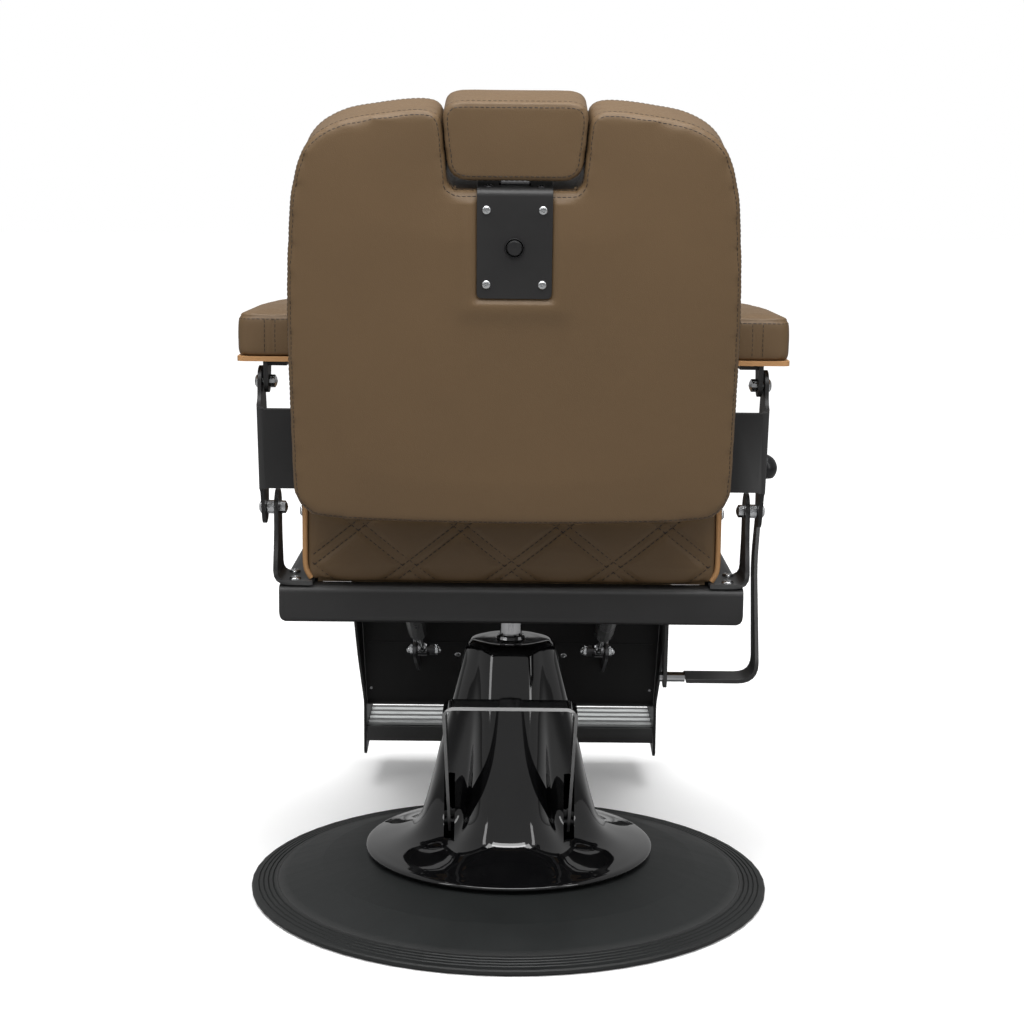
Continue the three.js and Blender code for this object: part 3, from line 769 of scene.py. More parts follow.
def sewnLine(loop, inset, out):
    # closed line that follows an outline on the back, a little inside it
    line = [p - n * inset for p, n in zip(loop, outwards(loop))]
    made = [onBack(p.x, out, p.y) for p in line]
    return made + made[:1]


def localBack(points):
    away = points - np.array(backPivot)
    return away[:, 0], away @ np.array(backOut), away @ np.array(backUp)


def worldBack(x, out, up):
    return np.array(backPivot) + np.outer(x, (1, 0, 0)) + np.outer(out, backOut) + np.outer(up, backUp)


def notchWall(up):
    # half width of the opening that the headrest slides in
    return 0.0690 + (up - 0.393) * 0.078


def makeBack(look):
    loop = backLoop(look)
    front, rear = look["frontEdge"], look["rear"]
    levels = [
        (front, 0.005), (front + 0.003, 0.0015), (front + 0.009, 0.0), (0.085, 0.0005),
        (0.120, 0.0002), (rear - 0.002, 0.0), (rear, 0.0015),
    ]
    obj = cushionBody("backCover", loop, levels, lambda p, out: onBack(p.x, out, p.y))
    edge = np.array([tuple(p) for p in loop])

    def edgeDistance(x, up):
        spots = np.stack([x, up], axis=1)
        return np.min(np.linalg.norm(spots[:, None, :] - edge[None, ::2, :], axis=2), axis=1)

    def nearSeam(p):
        x, out, up = localBack(p[None, :])
        return (out[0] > rear - 0.004 or out[0] < front + 0.006) and edgeDistance(x, up)[0] < 0.009

    def shaped(points):
        # the rear stays nearly flat, and lies under the headrest's plate; the sides stay between the brackets
        x, out, up = localBack(points)
        out = np.minimum(out, rear + look["crownRear"])
        under = (np.abs(x) < 0.043) & (up > 0.277) & (out > 0.1)
        out = np.where(under, np.minimum(out, rear - 0.0006), out)
        beside = (up > 0.03) & (up < 0.135) & (out < 0.075)
        x = np.where(beside, np.clip(x, -0.2340, 0.2340), np.clip(x, -0.2395, 0.2395))
        inNotch = (np.abs(x) < 0.085) & (up > 0.40)
        x = np.where(inNotch, np.sign(x) * np.maximum(np.abs(x), notchWall(up)), x)
        floor = (np.abs(x) < 0.06) & (up > 0.37)
        up = np.where(floor, np.minimum(up, look["notchFloor"]), up)
        out = np.maximum(out, 0.027)
        return worldBack(x, out, up)

    puff(obj, look["voxel"], look["crownFront"], 4, nearSeam, shaped)
    points = readPoints(obj)
    x, out, up = localBack(points)
    # a shallow swell round the plate, and the well of its button
    besidePlate = np.maximum(np.abs(x) - 0.046, 0) / 0.012
    belowPlate = np.maximum(0.272 - up, 0) / 0.014
    swell = look["swell"] * np.exp(-(besidePlate ** 2 + belowPlate ** 2))
    under = (np.abs(x) < 0.042) & (up > 0.279)
    out = np.where((out > 0.1) & ~under & (up < 0.385), out + swell, out)
    # the leather on the notch's floor covers the board's edge
    floor = (np.abs(x) < 0.064) & (np.abs(up - 0.3925) < 0.003) & (out > 0.050) & (out < 0.131)
    up = np.where(floor, look["boardEdge"], up)
    writePoints(obj, worldBack(x, out, up))
    rearSeam = sewnLine(loop, look["seamInset"], rear - 0.0015)
    frontSeam = sewnLine(loop, 0.003, front)
    pressSeam(obj, evenPath(rearSeam, 0.003), look["seamDepth"], 0.0022)
    pressSeam(obj, evenPath(frontSeam, 0.003), look["seamDepth"], 0.0024)
    quiltBack(obj, edgeDistance, look)
    cutSlots(obj)
    paint(obj, brownLeather)
    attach(obj, "back")
    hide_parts("back_cushion", "back_pad")
    tree = surfaceOf(obj)
    stitches("backRearStitch", [sewnLine(loop, 0.0026, rear + 0.001)], tree, "back", fineThread)
    stitches("backBandStitch", [sewnLine(loop, 0, look["bandStitch"])], tree, "back", fineThread)
    stitches("backFrontBandStitch", [sewnLine(loop, 0, front + 0.012)], tree, "back", fineThread)
    lines = []
    for line in quiltLines((-0.215, 0.215), (0.05, 0.445), look["quiltStart"], quiltLook):
        sewn = [onBack(a, 0.036, b) for a, b in line]
        lines += clipped(sewn, lambda p: insideBack(p, edgeDistance))
    stitches("backQuiltStitch", lines, tree, "back", quiltThread, lambda p: -backOut)


def insideBack(p, edgeDistance):
    x, out, up = localBack(np.array([tuple(p)]))
    if abs(x[0]) < 0.088 and up[0] > 0.378:
        return False
    inside = abs(x[0]) < 0.222 and up[0] < 0.455
    return inside and edgeDistance(x, up)[0] > 0.014


def clipped(line, inside):
    kept, run = [], []
    for p in line:
        if inside(p):
            run.append(p)
        else:
            if len(run) > 3:
                kept.append(run)
            run = []
    if len(run) > 3:
        kept.append(run)
    return kept


# diamond quilting in double stitched lines
quiltLook = {
    "across": 0.116, "along": 0.093, "pair": 0.005, "groove": 0.0026, "depth": 0.0011, "pillow": 0.0030,
}
fineThread = {"long": 0.0040, "gap": 0.0014, "thick": 0.00040, "lift": 0.00004}
quiltThread = {"long": 0.0046, "gap": 0.0018, "thick": 0.00045, "lift": 0.00015}


def quiltHeight(x, s, s0, look):
    # height above the sewn lines, for a point x across and s along the panel
    reach = 1 / math.hypot(1 / look["across"], 1 / look["along"])
    total = np.zeros_like(x)
    nearest = np.full_like(x, 1.0)
    for sign in (1, -1):
        phase = x / look["across"] + sign * (s - s0) / look["along"]
        away = np.abs(phase - np.round(phase)) * reach
        total -= look["depth"] * np.exp(-((away - look["pair"]) / look["groove"]) ** 2)
        nearest = np.minimum(nearest, np.maximum(away - look["pair"], 0))
    pillow = np.sqrt(np.clip(nearest / (reach * 0.5 - look["pair"]), 0, 1))
    return total + look["pillow"] * pillow


def quiltLines(across, along, s0, look):
    # every sewn line over the panel, as points (x, s)
    (x0, x1), (s1, s2) = across, along
    reach = 1 / math.hypot(1 / look["across"], 1 / look["along"])
    made = []
    for sign in (1, -1):
        corners = [x / look["across"] + sign * (s - s0) / look["along"] for x in (x0, x1) for s in (s1, s2)]
        for k in range(math.floor(min(corners)), math.ceil(max(corners)) + 1):
            for side in (-1, 1):
                phase = k + side * look["pair"] / reach
                line = []
                steps = max(8, int((s2 - s1) / 0.004))
                for i in range(steps + 1):
                    s = s1 + (s2 - s1) * i / steps
                    x = (phase - sign * (s - s0) / look["along"]) * look["across"]
                    if x0 <= x <= x1:
                        line.append((x, s))
                if len(line) > 4:
                    made.append(line)
    return made


def fade(value, start, end):
    t = np.clip((value - start) / (end - start), 0, 1)
    return t * t * (3 - 2 * t)


def quiltBack(obj, edgeDistance, look):
    points, normals = readPoints(obj), readNormals(obj)
    x, out, up = localBack(points)
    inside = np.zeros(len(points))
    face = (normals @ np.array(backOut) < -0.5) & (out < look["frontEdge"] + 0.01)
    inside[face] = fade(edgeDistance(x[face], up[face]), 0.008, 0.02)
    height = quiltHeight(x, up, look["quiltStart"], quiltLook) * inside
    writePoints(obj, points + normals * height[:, None])


def cutSlots(obj):
    # the channel of the headrest's bar, and the well of its button
    sides, depths, heights = (-0.017, 0.017), (0.1015, 0.1155), (0.258, 0.410)
    channel = boxTool([onBack(x, out, up) for x in sides for out in depths for up in heights])
    profile = [(0, 0), (0.0098, 0), (0.0098, 0.03), (0, 0.03)]
    well = turnedPiece("wellCut", profile, onBack(0, 0.1165, 0.336), backOut, 28)
    for tool in (channel, well):
        cutWith(obj, tool)
    obj.data.shade_smooth()


makeBack(backLook)
print("back covered")

# headrest cushion
headrestLook = {
    "voxel": 0.0042, "front": 0.042, "rear": 0.1345, "crown": 0.014, "rearCrown": 0.006, "seamDepth": 0.0012,
}


def makeHeadrest(look):
    corners = [
        (-0.0680, 0.4030, 0.020), (0.0680, 0.4030, 0.020), (0.0770, 0.4840, 0.022), (-0.0770, 0.4840, 0.022),
    ]
    loop = evenLoop(roundCorners(corners, 8), 0.005)
    front, rear = look["front"], look["rear"]
    levels = [
        (front, 0.005), (front + 0.003, 0.0015), (front + 0.008, 0.0), (rear - 0.008, 0),
        (rear - 0.002, 0.0005), (rear, 0.003),
    ]
    obj = cushionBody("headrestCover", loop, levels, lambda p, out: onBack(p.x, out, p.y))
    edge = np.array([tuple(p) for p in loop])

    def nearSeam(p):
        x, out, up = localBack(p[None, :])
        away = np.min(np.linalg.norm(edge - np.array([x[0], up[0]]), axis=1))
        return (out[0] > rear - 0.005 or out[0] < front + 0.005) and away < 0.007

    def shaped(points):
        x, out, up = localBack(points)
        # the sides slide past the notch, and the underside clears the bar's plate
        limit = notchWall(up) - 0.0010
        x = np.clip(x, -limit, limit)
        out = np.clip(out, 0.036, rear + look["rearCrown"])
        up = np.maximum(up, 0.3990)
        return worldBack(x, out, up)

    puff(obj, look["voxel"], look["crown"], 4, nearSeam, shaped)
    for seam in (sewnLine(loop, 0.003, rear + 0.001), sewnLine(loop, 0.003, front - 0.001)):
        pressSeam(obj, evenPath(seam, 0.002), look["seamDepth"], 0.0018)
    # the socket that the bar goes into
    sides, depths, heights = (-0.0155, 0.0155), (0.107, 0.115), (0.390, 0.4455)
    cutBox(obj, [onBack(x, out, up) for x in sides for out in depths for up in heights])
    paint(obj, brownLeather)
    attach(obj, "headrest")
    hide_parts("headrest_cushion")
    tree = surfaceOf(obj)
    sewn = [sewnLine(loop, 0.0046, rear + 0.002), sewnLine(loop, 0, rear - 0.009)]
    stitches("headrestStitch", sewn, tree, "headrest", fineThread)


makeHeadrest(headrestLook)
print("headrest covered")

# seat cushion
seatLook = {
    "halfWidth": 0.2340, "rear": 0.260, "front": -0.260, "bottom": 0.4424, "cornerBottom": 0.4472,
    "top": 0.561, "voxel": 0.0056, "crown": 0.020, "piping": 0.0031, "pipingAt": 0.2350, "sideLimit": 0.243,
    "rearLimit": 0.2665, "quiltStart": 0.464,
}


def seatLoop(look):
    # side view of the cushion, as (forward-to-rear, height)
    front, rear, bottom, top = look["front"], look["rear"], look["bottom"], look["top"]
    corners = [
        (front + 0.006, bottom, 0.022), (rear, bottom, 0.010), (rear, top - 0.004, 0.034),
        (0.04, top - 0.004, 0.06), (front, top, 0.085),
    ]
    return evenLoop(roundCorners(corners, 8), 0.006)


def makeSeat(look):
    loop = seatLoop(look)
    half = look["halfWidth"]
    levels = [
        (-half, 0.006), (-half + 0.003, 0.0015), (-half + 0.01, 0), (0, 0), (half - 0.01, 0),
        (half - 0.003, 0.0015), (half, 0.006),
    ]
    obj = cushionBody("seatCover", loop, levels, lambda p, x: Vector((x, p.x, p.y)))

    def sideOrBottom(p):
        edge = min(np.hypot(q.x - p[1], q.y - p[2]) for q in loop)
        return (abs(p[0]) > half - 0.006 and edge < 0.009) or p[2] < look["bottom"] + 0.004

    def shaped(points):
        points = points.copy()
        points[:, 0] = np.clip(points[:, 0], -look["sideLimit"], look["sideLimit"])
        points[:, 1] = np.minimum(points[:, 1], look["rearLimit"])
        points[:, 2] = np.maximum(points[:, 2], seatBottom(points, look))
        return points

    puff(obj, look["voxel"], look["crown"], 4, sideOrBottom, shaped)
    # quilting follows the strip over the front, top and rear
    points, normals = readPoints(obj), readNormals(obj)
    along = seatAlong(points, look)
    strip = fade(half - 0.004 - np.abs(points[:, 0]), 0.0, 0.012)
    strip *= fade(points[:, 2], look["bottom"] + 0.0005, look["bottom"] + 0.006)
    strip *= np.abs(normals[:, 0]) < 0.7
    height = quiltHeight(points[:, 0], along, look["quiltStart"], quiltLook) * strip
    writePoints(obj, points + normals * height[:, None])
    for side in (-1, 1):
        seam = [Vector((side * look["pipingAt"], p.x, p.y)) for p in loop]
        pressSeam(obj, evenPath(seam + seam[:1], 0.003), 0.0012, 0.003)
    points = readPoints(obj)
    points[:, 2] = np.maximum(points[:, 2], seatBottom(points, look))
    writePoints(obj, points)
    # the recess that the board fills
    sides, depths, heights = (-0.2235, 0.2235), (-0.2415, 0.2455), (0.43, 0.4541)
    cutBox(obj, [(x, y, z) for x in sides for y in depths for z in heights])
    paint(obj, brownLeather)
    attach(obj, "seat")
    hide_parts("seat_cushion")
    tree = surfaceOf(obj)
    lines = []
    for line in quiltLines((-0.229, 0.229), seatReach(look), look["quiltStart"], quiltLook):
        lines.append([seatPlace(x, s, look) for x, s in line])
    stripLine = seatStrip(look)
    stitches("seatQuiltStitch", lines, tree, "seat", quiltThread, lambda p: stripOutwards(p, stripLine))
    for side, name in ((1, "left"), (-1, "right")):
        makePiping(f"seatPiping_{name}", side, loop, tree, look)


def seatStrip(look):
    # the quilted strip's line: up the rear, forward over the top, down the front
    loop = seatLoop(look)
    foot = Vector((look["rear"], look["bottom"] + 0.004))
    start = min(range(len(loop)), key=lambda i: (loop[i] - foot).length)
    turned = loop[start:] + loop[:start]
    if turned[3].y < turned[0].y:
        turned = [turned[0]] + turned[1:][::-1]
    line = []
    for p in turned:
        if len(line) > 9 and p.y < look["bottom"] + 0.01:
            break
        line.append(p)
    return line


def seatAlong(points, look):
    # distance along the strip, starting so that it equals the height on the rear face
    line = seatStrip(look)
    spots = np.array([tuple(p) for p in line])
    step = np.linalg.norm(np.diff(spots, axis=0), axis=1)
    run = np.concatenate([[0], np.cumsum(step)]) + spots[0, 1]
    best = np.full(len(points), 1e9)
    along = np.zeros(len(points))
    flat = points[:, 1:3]
    for a, b, s in zip(spots[:-1], spots[1:], run):
        ab = b - a
        t = np.clip(((flat - a) @ ab) / (ab @ ab), 0, 1)
        away = np.linalg.norm(flat - (a + t[:, None] * ab), axis=1)
        closer = away < best
        best = np.where(closer, away, best)
        along = np.where(closer, s + t * np.linalg.norm(ab), along)
    return along


def stripOutwards(p, line):
    # straight out of the cushion where the strip passes this point
    k = min(range(1, len(line) - 1), key=lambda i: (line[i].x - p.y) ** 2 + (line[i].y - p.z) ** 2)
    along = (line[k + 1] - line[k - 1]).normalized()
    return Vector((0, along.y, -along.x))


def seatReach(look):
    line = seatStrip(look)
    length = sum((q - p).length for p, q in zip(line, line[1:]))
    return line[0].y, line[0].y + length


def seatPlace(x, s, look):
    line = seatStrip(look)
    left = s - line[0].y
    for p, q in zip(line, line[1:]):
        step = (q - p).length
        if left <= step:
            spot = p.lerp(q, left / step)
            break
        left -= step
    else:
        spot = line[-1]
    return Vector((x, spot.x, spot.y))


def seatBottom(points, look):
    # the cover hangs to the frame, and is lifted where the brackets' feet lie under it
    overFoot = fade(np.abs(points[:, 0]), 0.2030, 0.2110) * fade(points[:, 1], 0.176, 0.190)
    return look["bottom"] + (look["cornerBottom"] - look["bottom"]) * overFoot


def makePiping(name, side, loop, tree, look):
    line = [p for p in loop if p.y > look["bottom"] + 0.004]
    start = max(range(len(line)), key=lambda i: (line[i] - line[i - 1]).length)
    line = line[start:] + line[:start]
    path = []
    for i, p in enumerate(line):
        ends = min(i, len(line) - 1 - i) * 0.006
        tuck = 0.007 * max(0, 1 - ends / 0.018) ** 2
        x = side * (look["pipingAt"] - tuck)
        spot, normal, _, _ = tree.find_nearest(Vector((x, p.x, p.y)))
        path.append(Vector((x, spot.y, spot.z)) + Vector((0, normal.y, normal.z)) * 0.0006)
    softer = [(a + b * 2 + c) / 4 for a, b, c in zip(path, path[1:], path[2:])]
    obj = tube(name, evenPath([path[0], *softer, path[-1]], 0.004), look["piping"])
    paint(obj, tanLeather)
    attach(obj, "seat")


makeSeat(seatLook)
print("seat covered")

# arm pads
armLook = {
    "voxel": 0.004, "crown": 0.007, "wall": 0.0004, "topDrop": 0.0055, "seamDrop": 0.0035,
    "seamDepth": 0.0012, "fall": 0.42, "nose": 0.22,
}


def makeArmPad(name, side, look):
    low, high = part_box("arm_pad_" + name)
    inner, outer = sorted((abs(low.x), abs(high.x)))
    mid, half = (inner + outer) / 2, (outer - inner) / 2 - look["wall"]
    rear, front = high.y - look["wall"], low.y + look["wall"]
    bottom, top = low.z + 0.0003, high.z - look["topDrop"]
    corners = [(-half, front, 0.030), (half, front, 0.030), (half, rear, 0.018), (-half, rear, 0.018)]
    loop = evenLoop(roundCorners(corners, 8), 0.005)

    def place(p, z):
        # the top falls gently towards the front, and rounds over at the nose
        nose = max(0.0, min(1.0, (front + 0.050 - p.y) / 0.050))
        run = (rear - p.y) / (rear - front)
        lowered = (1 - look["fall"] * (0.5 * run + 0.5 * run ** 3)) * (1 - look["nose"] * nose ** 2)
        return Vector((side * (mid + p.x), p.y, bottom + (z - bottom) * lowered))

    def upTheRear(shift, y, start, length, steps):
        # a sewn line up the rear end, beside its middle
        x = side * (mid + shift)
        return [Vector((x, y, bottom + start + length * i / steps)) for i in range(steps + 1)]

    levels = [(bottom, 0.0015), (bottom + 0.003, 0), (top - 0.012, 0), (top - 0.003, 0.001), (top, 0.005)]
    obj = cushionBody("armCover_" + name, loop, levels, place)

    def held(p):
        return p[2] < bottom + 0.004

    def shaped(points):
        points = points.copy()
        x = side * points[:, 0]
        points[:, 0] = side * np.clip(x, inner - 0.001, outer + 0.001)
        points[:, 1] = np.clip(points[:, 1], low.y - 0.003, high.y + 0.002)
        points[:, 2] = np.clip(points[:, 2], bottom, high.z + 0.003)
        return points

    puff(obj, look["voxel"], look["crown"], 4, held, shaped)
    tree = surfaceOf(obj)
    seam = [tree.find_nearest(place(p, top - look["seamDrop"]))[0] for p in loop]
    pressSeam(obj, evenPath(seam + seam[:1], 0.002), look["seamDepth"], 0.0018)
    tall = top - bottom - look["seamDrop"]
    for shift in (-0.003, 0.003):
        pressSeam(obj, upTheRear(shift, rear, 0.004, tall, 12)[:-1], 0.0007, 0.0016)
    paint(obj, brownLeather)
    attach(obj, "armrest_" + name)
    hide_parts("arm_pad_" + name)
    tree = surfaceOf(obj)
    below = [place(p, top - look["seamDrop"] - 0.0035) for p in loop]
    ends = [upTheRear(shift, rear + 0.002, 0.003, tall - 0.006, 10) for shift in (-0.0055, 0.0055)]
    stitches("armStitch_" + name, [below + below[:1]] + ends, tree, "armrest_" + name, fineThread)


for name, side in (("left", 1), ("right", -1)):
    makeArmPad(name, side, armLook)
print("arm pads covered")

# calf pad
calfLook = {"voxel": 0.005, "crown": 0.010, "halfWidth": 0.2055, "thick": 0.022, "seamDepth": 0.0012}


def makeCalfPad(look):
    top = Vector((0, -0.2815, 0.350))
    foot = Vector((0, -0.4325, 0.134))
    down = (foot - top).normalized()
    out = Vector((0, down.z, -down.y))
    length = (foot - top).length
    half = look["halfWidth"]
    upper, lower = 0.004, length - 0.004
    corners = [(-half, upper, 0.018), (half, upper, 0.018), (half, lower, 0.018), (-half, lower, 0.018)]
    loop = evenLoop(roundCorners(corners, 6), 0.006)

    def place(p, depth):
        slide = depth * 0.68 * (1 - p.y / length)
        return top + Vector((p.x, 0, 0)) + down * (p.y + slide) + out * depth

    thick = look["thick"]
    levels = [(0.0005, 0.003), (0.004, 0), (thick - 0.006, 0), (thick - 0.002, 0.002), (thick, 0.007)]
    obj = cushionBody("calfCover", loop, levels, place)

    def depthOf(points):
        return (points - np.array(top)) @ np.array(out)

    def shaped(points):
        points = points.copy()
        points[:, 0] = np.clip(points[:, 0], -0.2115, 0.2115)
        depth = depthOf(points)
        push = np.maximum(0, 0.0004 - depth) - np.maximum(0, depth - 0.033)
        return points + np.outer(push, out)

    puff(obj, look["voxel"], look["crown"], 4, lambda p: depthOf(p[None, :])[0] < 0.004, shaped)
    tree = surfaceOf(obj)
    normals = outwards(loop)
    seam = [tree.find_nearest(place(p - n * 0.004, thick + 0.003))[0] for p, n in zip(loop, normals)]
    pressSeam(obj, evenPath(seam + seam[:1], 0.003), look["seamDepth"], 0.0022)
    paint(obj, brownLeather)
    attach(obj, "leg_rest")
    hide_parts("leg_pad")
    tree = surfaceOf(obj)
    inner = [place(p - n * 0.008, thick + 0.004) for p, n in zip(loop, normals)]
    stitches("calfStitch", [inner + inner[:1]], tree, "leg_rest", fineThread)


makeCalfPad(calfLook)
print("calf pad covered")

# screws, rivets and small hardware
# the radius of each kind of head
screwLook = {
    "plate": 0.00465, "flange": 0.0042, "foot": 0.0068, "bracket": 0.0055, "panel": 0.0048, "corner": 0.0030,
}


def domeScrew(name, place, axis, radius, body, material, crossed=True):
    tall = radius * 0.48
    shape = [(0, 0), (1, 0), (1, 0.28), (0.93, 0.55), (0.72, 0.84), (0.4, 0.97), (0, 1)]
    profile = [(radius * across, tall * up) for across, up in shape]
    obj = turnedPiece(name, profile, (0, 0, 0), (0, 0, 1), 28)
    if crossed:
        for turn in (0, math.pi / 2):
            wide, deep = radius * 0.11, tall * 0.5
            verts = []
            for z, reach in ((tall - deep, 0.30), (tall * 1.2, 0.52)):
                for x, y in ((-1, -1), (1, -1), (1, 1), (-1, 1)):
                    verts.append(Matrix.Rotation(turn, 4, "Z") @ Vector((x * radius * reach, y * wide, z)))
            walls = [(k, (k + 1) % 4, (k + 1) % 4 + 4, k + 4) for k in range(4)]
            cutWith(obj, newMesh("crossCut", verts, [(0, 3, 2, 1), (4, 5, 6, 7), *walls], False))
    turn = Vector(axis).to_track_quat("Z", "Y").to_matrix().to_4x4()
    obj.data.transform(Matrix.Translation(Vector(place)) @ turn @ Matrix.Rotation(0.5, 4, "Z"))
    sharpen(obj, 30)
    paint(obj, material)
    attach(obj, body)


nutLook = {"across": 0.0072, "hex": 0.0045, "dome": 0.0056, "height": 0.0095}


def makeDomedNut(name, place, axis, body, look=nutLook):
    # six flats, then a dome
    across, hexTop, dome, height = look["across"], look["hex"], look["dome"], look["height"]
    profile = [(0, 0), (across * 0.92, 0), (across, 0.0006), (across, hexTop - 0.0006), (across * 0.9, hexTop)]
    for i in range(7):
        a = math.pi / 2 * i / 6
        profile.append((dome * math.cos(a), hexTop + (height - hexTop) * math.sin(a)))
    profile[-1] = (0, height)
    obj = turnedPiece(name, profile, (0, 0, 0), (0, 0, 1), 24)
    points = readPoints(obj)
    angle = np.arctan2(points[:, 1], points[:, 0])
    flat = math.cos(math.pi / 6) / np.cos((angle + math.pi / 6) % (math.pi / 3) - math.pi / 6)
    onHex = (points[:, 2] <= hexTop + 1e-6) & (np.hypot(points[:, 0], points[:, 1]) > dome * 1.05)
    points[onHex, :2] *= flat[onHex, None]
    writePoints(obj, points)
    turn = Vector(axis).to_track_quat("Z", "Y").to_matrix().to_4x4()
    obj.data.transform(Matrix.Translation(place) @ turn)
    sharpen(obj, 25)
    paint(obj, platedSteel)
    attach(obj, body)


def steelScrew(name, place, axis, radius, body, crossed=True):
    domeScrew(name, place, axis, radius, body, platedSteel, crossed)


def makeFasteners(look):
    for k, (x, up) in enumerate(((-0.029, 0.375), (0.029, 0.375), (-0.029, 0.297), (0.029, 0.297))):
        steelScrew(f"plateScrew_{k + 1}", onBack(x, 0.1384, up), backOut, look["plate"], "back")
    for k, x in enumerate((-0.027, 0.027)):
        spot = onBack(x, 0.124, 0.3964)
        domeScrew(f"flangeScrew_{k + 1}", spot, backUp, look["flange"], "back", knobBlack)
    for name, side in (("left", 1), ("right", -1)):
        out = (side, 0, 0)
        for k, up in enumerate((0.058, 0.122)):
            spot = onBack(side * 0.2389, 0.052, up)
            steelScrew(f"bracketScrew_{name}_{k + 1}", spot, out, look["bracket"], "back")
        for k, (x, y) in enumerate(((0.2465, 0.257), (0.2515, 0.213))):
            steelScrew(f"footScrew_{name}_{k + 1}", (side * x, y, 0.4464), (0, 0, 1), look["foot"], "seat")
    # the sheet behind the calves: two domed screws in its middle and small ones at its lower corners
    high, low = Vector((0, -0.276, 0.354)), Vector((0, -0.428, 0.134))
    along = (low - high).normalized()
    rear = Vector((0, -along.z, along.y))
    pairs = ((0.077, 0.624, "panel"), (0.206, 0.905, "corner"))
    rows = [(side * x, t, size) for x, t, size in pairs for side in (1, -1)]
    for k, (x, t, size) in enumerate(rows):
        spot = high.lerp(low, t) + rear * 0.0015 + Vector((x, 0, 0))
        steelScrew(f"panelScrew_{k + 1}", spot, rear, look[size], "leg_rest", size == "panel")
    bead = high.lerp(low, 0.528) + rear * 0.0013
    crease = tube("panelCrease", [bead + Vector((x, 0, 0)) for x in np.linspace(-0.205, 0.205, 24)], 0.0009)
    paint(crease, satinBlack)
    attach(crease, "leg_rest")
    # domed nuts on both ends of the strut pins
    for name, side in (("left", 1), ("right", -1)):
        for k, (x, way) in enumerate(((0.1060, -1), (0.1362, 1))):
            spot = Vector((side * x, -0.250, 0.250))
            makeDomedNut(f"strutNut_{name}_{k + 1}", spot, (side * way, 0, 0), "leg_rest")
    inner, outer, shoulder, lip = 0.0091, 0.0106, 0.0018, 0.0028
    profile = [
        (inner, 0), (outer, 0), (outer, shoulder), (outer - 0.0006, lip), (inner + 0.0004, lip),
        (inner, shoulder), (inner, 0),
    ]
    ring = turnedPiece("buttonRing", profile, onBack(0, 0.1384, 0.336), backOut, 36)
    paint(ring, knobBlack)
    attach(ring, "back")


makeFasteners(screwLook)
print("fasteners placed")

# sheet metal, with its edges broken as a file or a press leaves them
edgeLook = {
    "foot_pedal": 0.0011, "headrest_plate": 0.0005, "rail_rear": 0.0009, "rail_front": 0.0009,
    "recline_lever": 0.0008, "leg_panel": 0.0005, "tread_lip": 0.0006,
}
pairLook = {
    "rail": 0.0009, "upright": 0.0007, "back_bracket": 0.0006, "arm_link": 0.0007, "arm_bracket": 0.0006,
    "leg_plate": 0.0007, "front_bracket": 0.0006,
}


def breakEdges(nodeName, width):
    node = frame["nodes"][nodeName]
    obj = link(bpy.data.objects.new(nodeName + "_edged", node.data.copy()))
    bm = bmesh.new()
    bm.from_mesh(obj.data)
    bmesh.ops.remove_doubles(bm, verts=bm.verts, dist=1e-6)
    bmesh.ops.dissolve_limit(bm, angle_limit=math.radians(0.6), verts=bm.verts, edges=bm.edges)
    bm.to_mesh(obj.data)
    bm.free()
    rounding = obj.modifiers.new("rounding", "BEVEL")
    rounding.width = width
    rounding.segments = 3
    rounding.limit_method = "ANGLE"
    rounding.angle_limit = math.radians(38)
    rounding.use_clamp_overlap = True
    applyModifiers(obj)
    sharpen(obj, 50)
    weighted = obj.modifiers.new("weighted", "WEIGHTED_NORMAL")
    weighted.keep_sharp = True
    applyModifiers(obj)
    paint(obj, finishBySlot[slotOfNode[nodeName]])
    if nodeName == "foot_pedal":
        # painted highlight: the faces of the cut edge that turn to the rear take a light grey coat, in place
        # of the light they reflect
        obj.data.materials.append(edgeHighlightCoat)
        for face in obj.data.polygons:
            if face.normal.y > 0.52 and abs(face.normal.x) < 0.3:
                face.material_index = 1
    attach(obj, body_of(node)[0])
    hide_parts(nodeName)


for nodeName, width in edgeLook.items():
    breakEdges(nodeName, width)
for pairName, width in pairLook.items():
    for name in ("left", "right"):
        breakEdges(f"{pairName}_{name}", width)
print("edges broken")

# the pump's shroud: a round flange that climbs into a four-lobed tower, open at the top for the ram
shroudLook = {
    # height, reach of a lobe, and half the width between lobes
    "sections": [
        (0.0508, 0.1825, 0.1825), (0.0530, 0.1838, 0.1838), (0.0560, 0.1810, 0.1805), (0.0590, 0.1700, 0.1630),
        (0.0640, 0.1520, 0.1220), (0.0700, 0.1360, 0.0920), (0.0780, 0.1230, 0.0760), (0.0900, 0.1140, 0.0660),
        (0.1070, 0.1080, 0.0590), (0.1400, 0.0990, 0.0560), (0.1800, 0.0900, 0.0530), (0.2400, 0.0750, 0.0500),
        (0.2850, 0.0640, 0.0485), (0.3070, 0.0588, 0.0472), (0.3150, 0.0562, 0.0460), (0.3200, 0.0525, 0.0436),
        (0.3228, 0.0470, 0.0395), (0.3230, 0.0300, 0.0280), (0.3230, 0.0160, 0.0160),
    ],
    "sides": 144, "finer": 5, "wall": 0.0025, "slots": 0.0755,
}


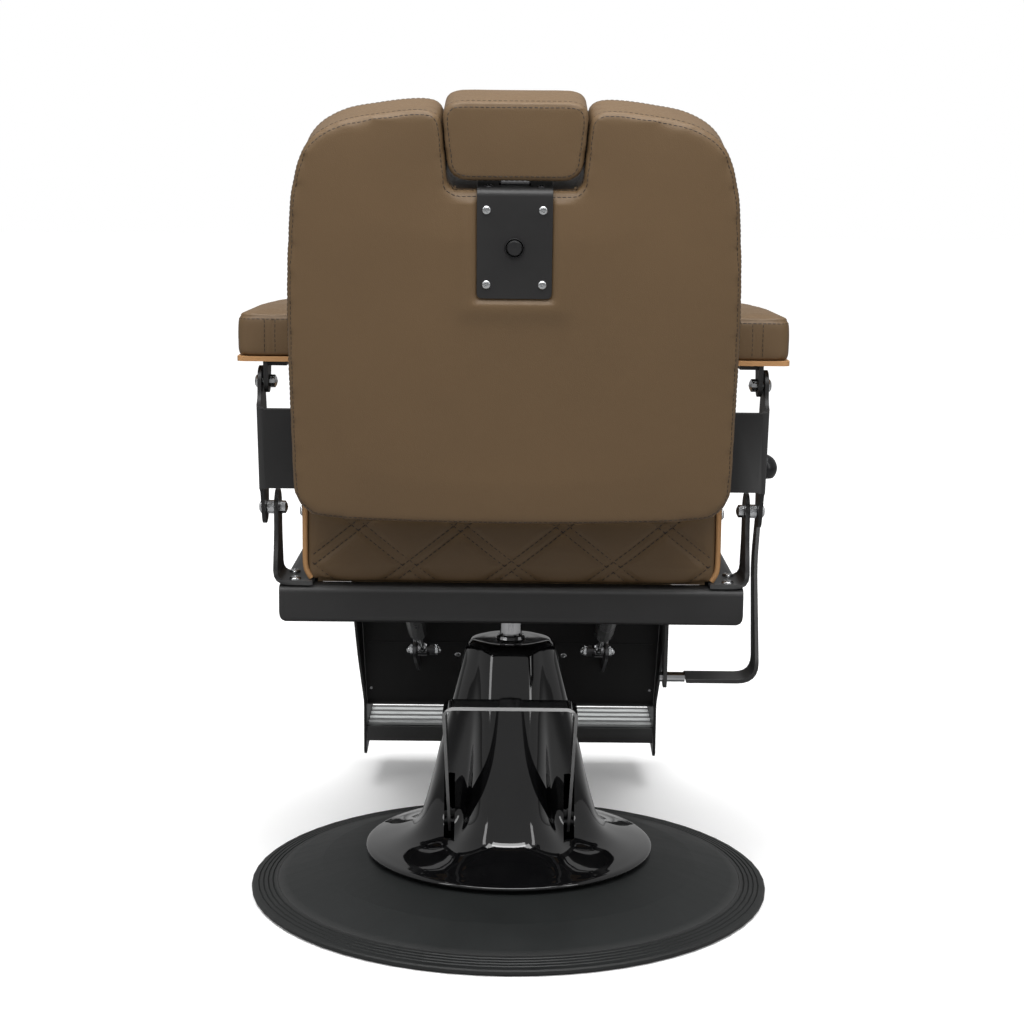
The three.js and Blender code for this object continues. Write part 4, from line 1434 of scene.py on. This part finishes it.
def makeShroud(look):
    sections = smoothSections(look["sections"], look["finer"])
    around = look["sides"]
    verts = []
    for z, reach, half in sections:
        lobed = min(1, 3 * (1 - half / reach))
        power = 2 + 0.9 * lobed
        for i in range(around):
            a = 2 * math.pi * i / around
            c, s = abs(math.cos(a)), abs(math.sin(a))
            lobes = [((u / reach) ** power + (w / half) ** power) ** (-1 / power) for u, w in ((c, s), (s, c))]
            # the two lobes run into each other in a soft valley
            valley = (lobes[0] ** 16 + lobes[1] ** 16) ** (1 / 16)
            r = valley * min(max(lobes) / valley, 1) ** (1 - lobed)
            verts.append((r * math.cos(a), r * math.sin(a), z))
    faces = []
    for k in range(len(sections) - 1):
        for i in range(around):
            j = (i + 1) % around
            faces.append((k * around + i, k * around + j, (k + 1) * around + j, (k + 1) * around + i))
    obj = newMesh("pumpShroud", verts, faces)
    thick = obj.modifiers.new("thick", "SOLIDIFY")
    thick.thickness = look["wall"]
    thick.offset = -1
    applyModifiers(obj)
    for side in (-1, 1):
        # the slot that the pedal's leg comes out of
        x = side * look["slots"]
        sides, depths, heights = (x - 0.0068, x + 0.0068), (0.02, 0.14), (0.079, 0.158)
        cutBox(obj, [(a, b, c) for a in sides for b in depths for c in heights])
    sharpen(obj, 40)
    paint(obj, glossBlack)
    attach(obj, "base")
    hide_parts("pump_cover")


def smoothSections(rows, steps):
    # a smooth run through the given rows
    made = []
    last = len(rows) - 1
    for k in range(last):
        p0, p1, p2, p3 = (np.array(rows[i]) for i in (max(k - 1, 0), k, k + 1, min(k + 2, last)))
        for i in range(steps):
            t = i / steps
            made.append(tuple(0.5 * (2 * p1 + (p2 - p0) * t + (2 * p0 - 5 * p1 + 4 * p2 - p3) * t ** 2
                                     + (3 * p1 - p0 - 3 * p2 + p3) * t ** 3)))
    made.append(tuple(rows[-1]))
    return made


makeShroud(shroudLook)
print("shroud made")

# the ball on the lever
knobShape = {"radius": 0.017, "collar": 0.0075, "steps": 24}


def makeKnob(look):
    low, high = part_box("lever_knob")
    middle = (low + high) / 2
    radius = look["radius"]
    centre = Vector((middle.x, middle.y, high.z - radius))
    flat = low.z - centre.z
    start = math.asin(flat / radius)
    profile = [(0, flat)]
    for i in range(look["steps"] + 1):
        a = start + (math.pi / 2 - start) * i / look["steps"]
        profile.append((radius * math.cos(a), radius * math.sin(a)))
    profile[-1] = (0, radius)
    profile.insert(1, (look["collar"], flat))
    obj = turnedPiece("leverBall", profile, centre, (0, 0, 1), 40)
    paint(obj, knobBlack)
    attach(obj, "lever")
    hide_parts("lever_knob")


makeKnob(knobShape)
print("knob turned")

print("chair ready")
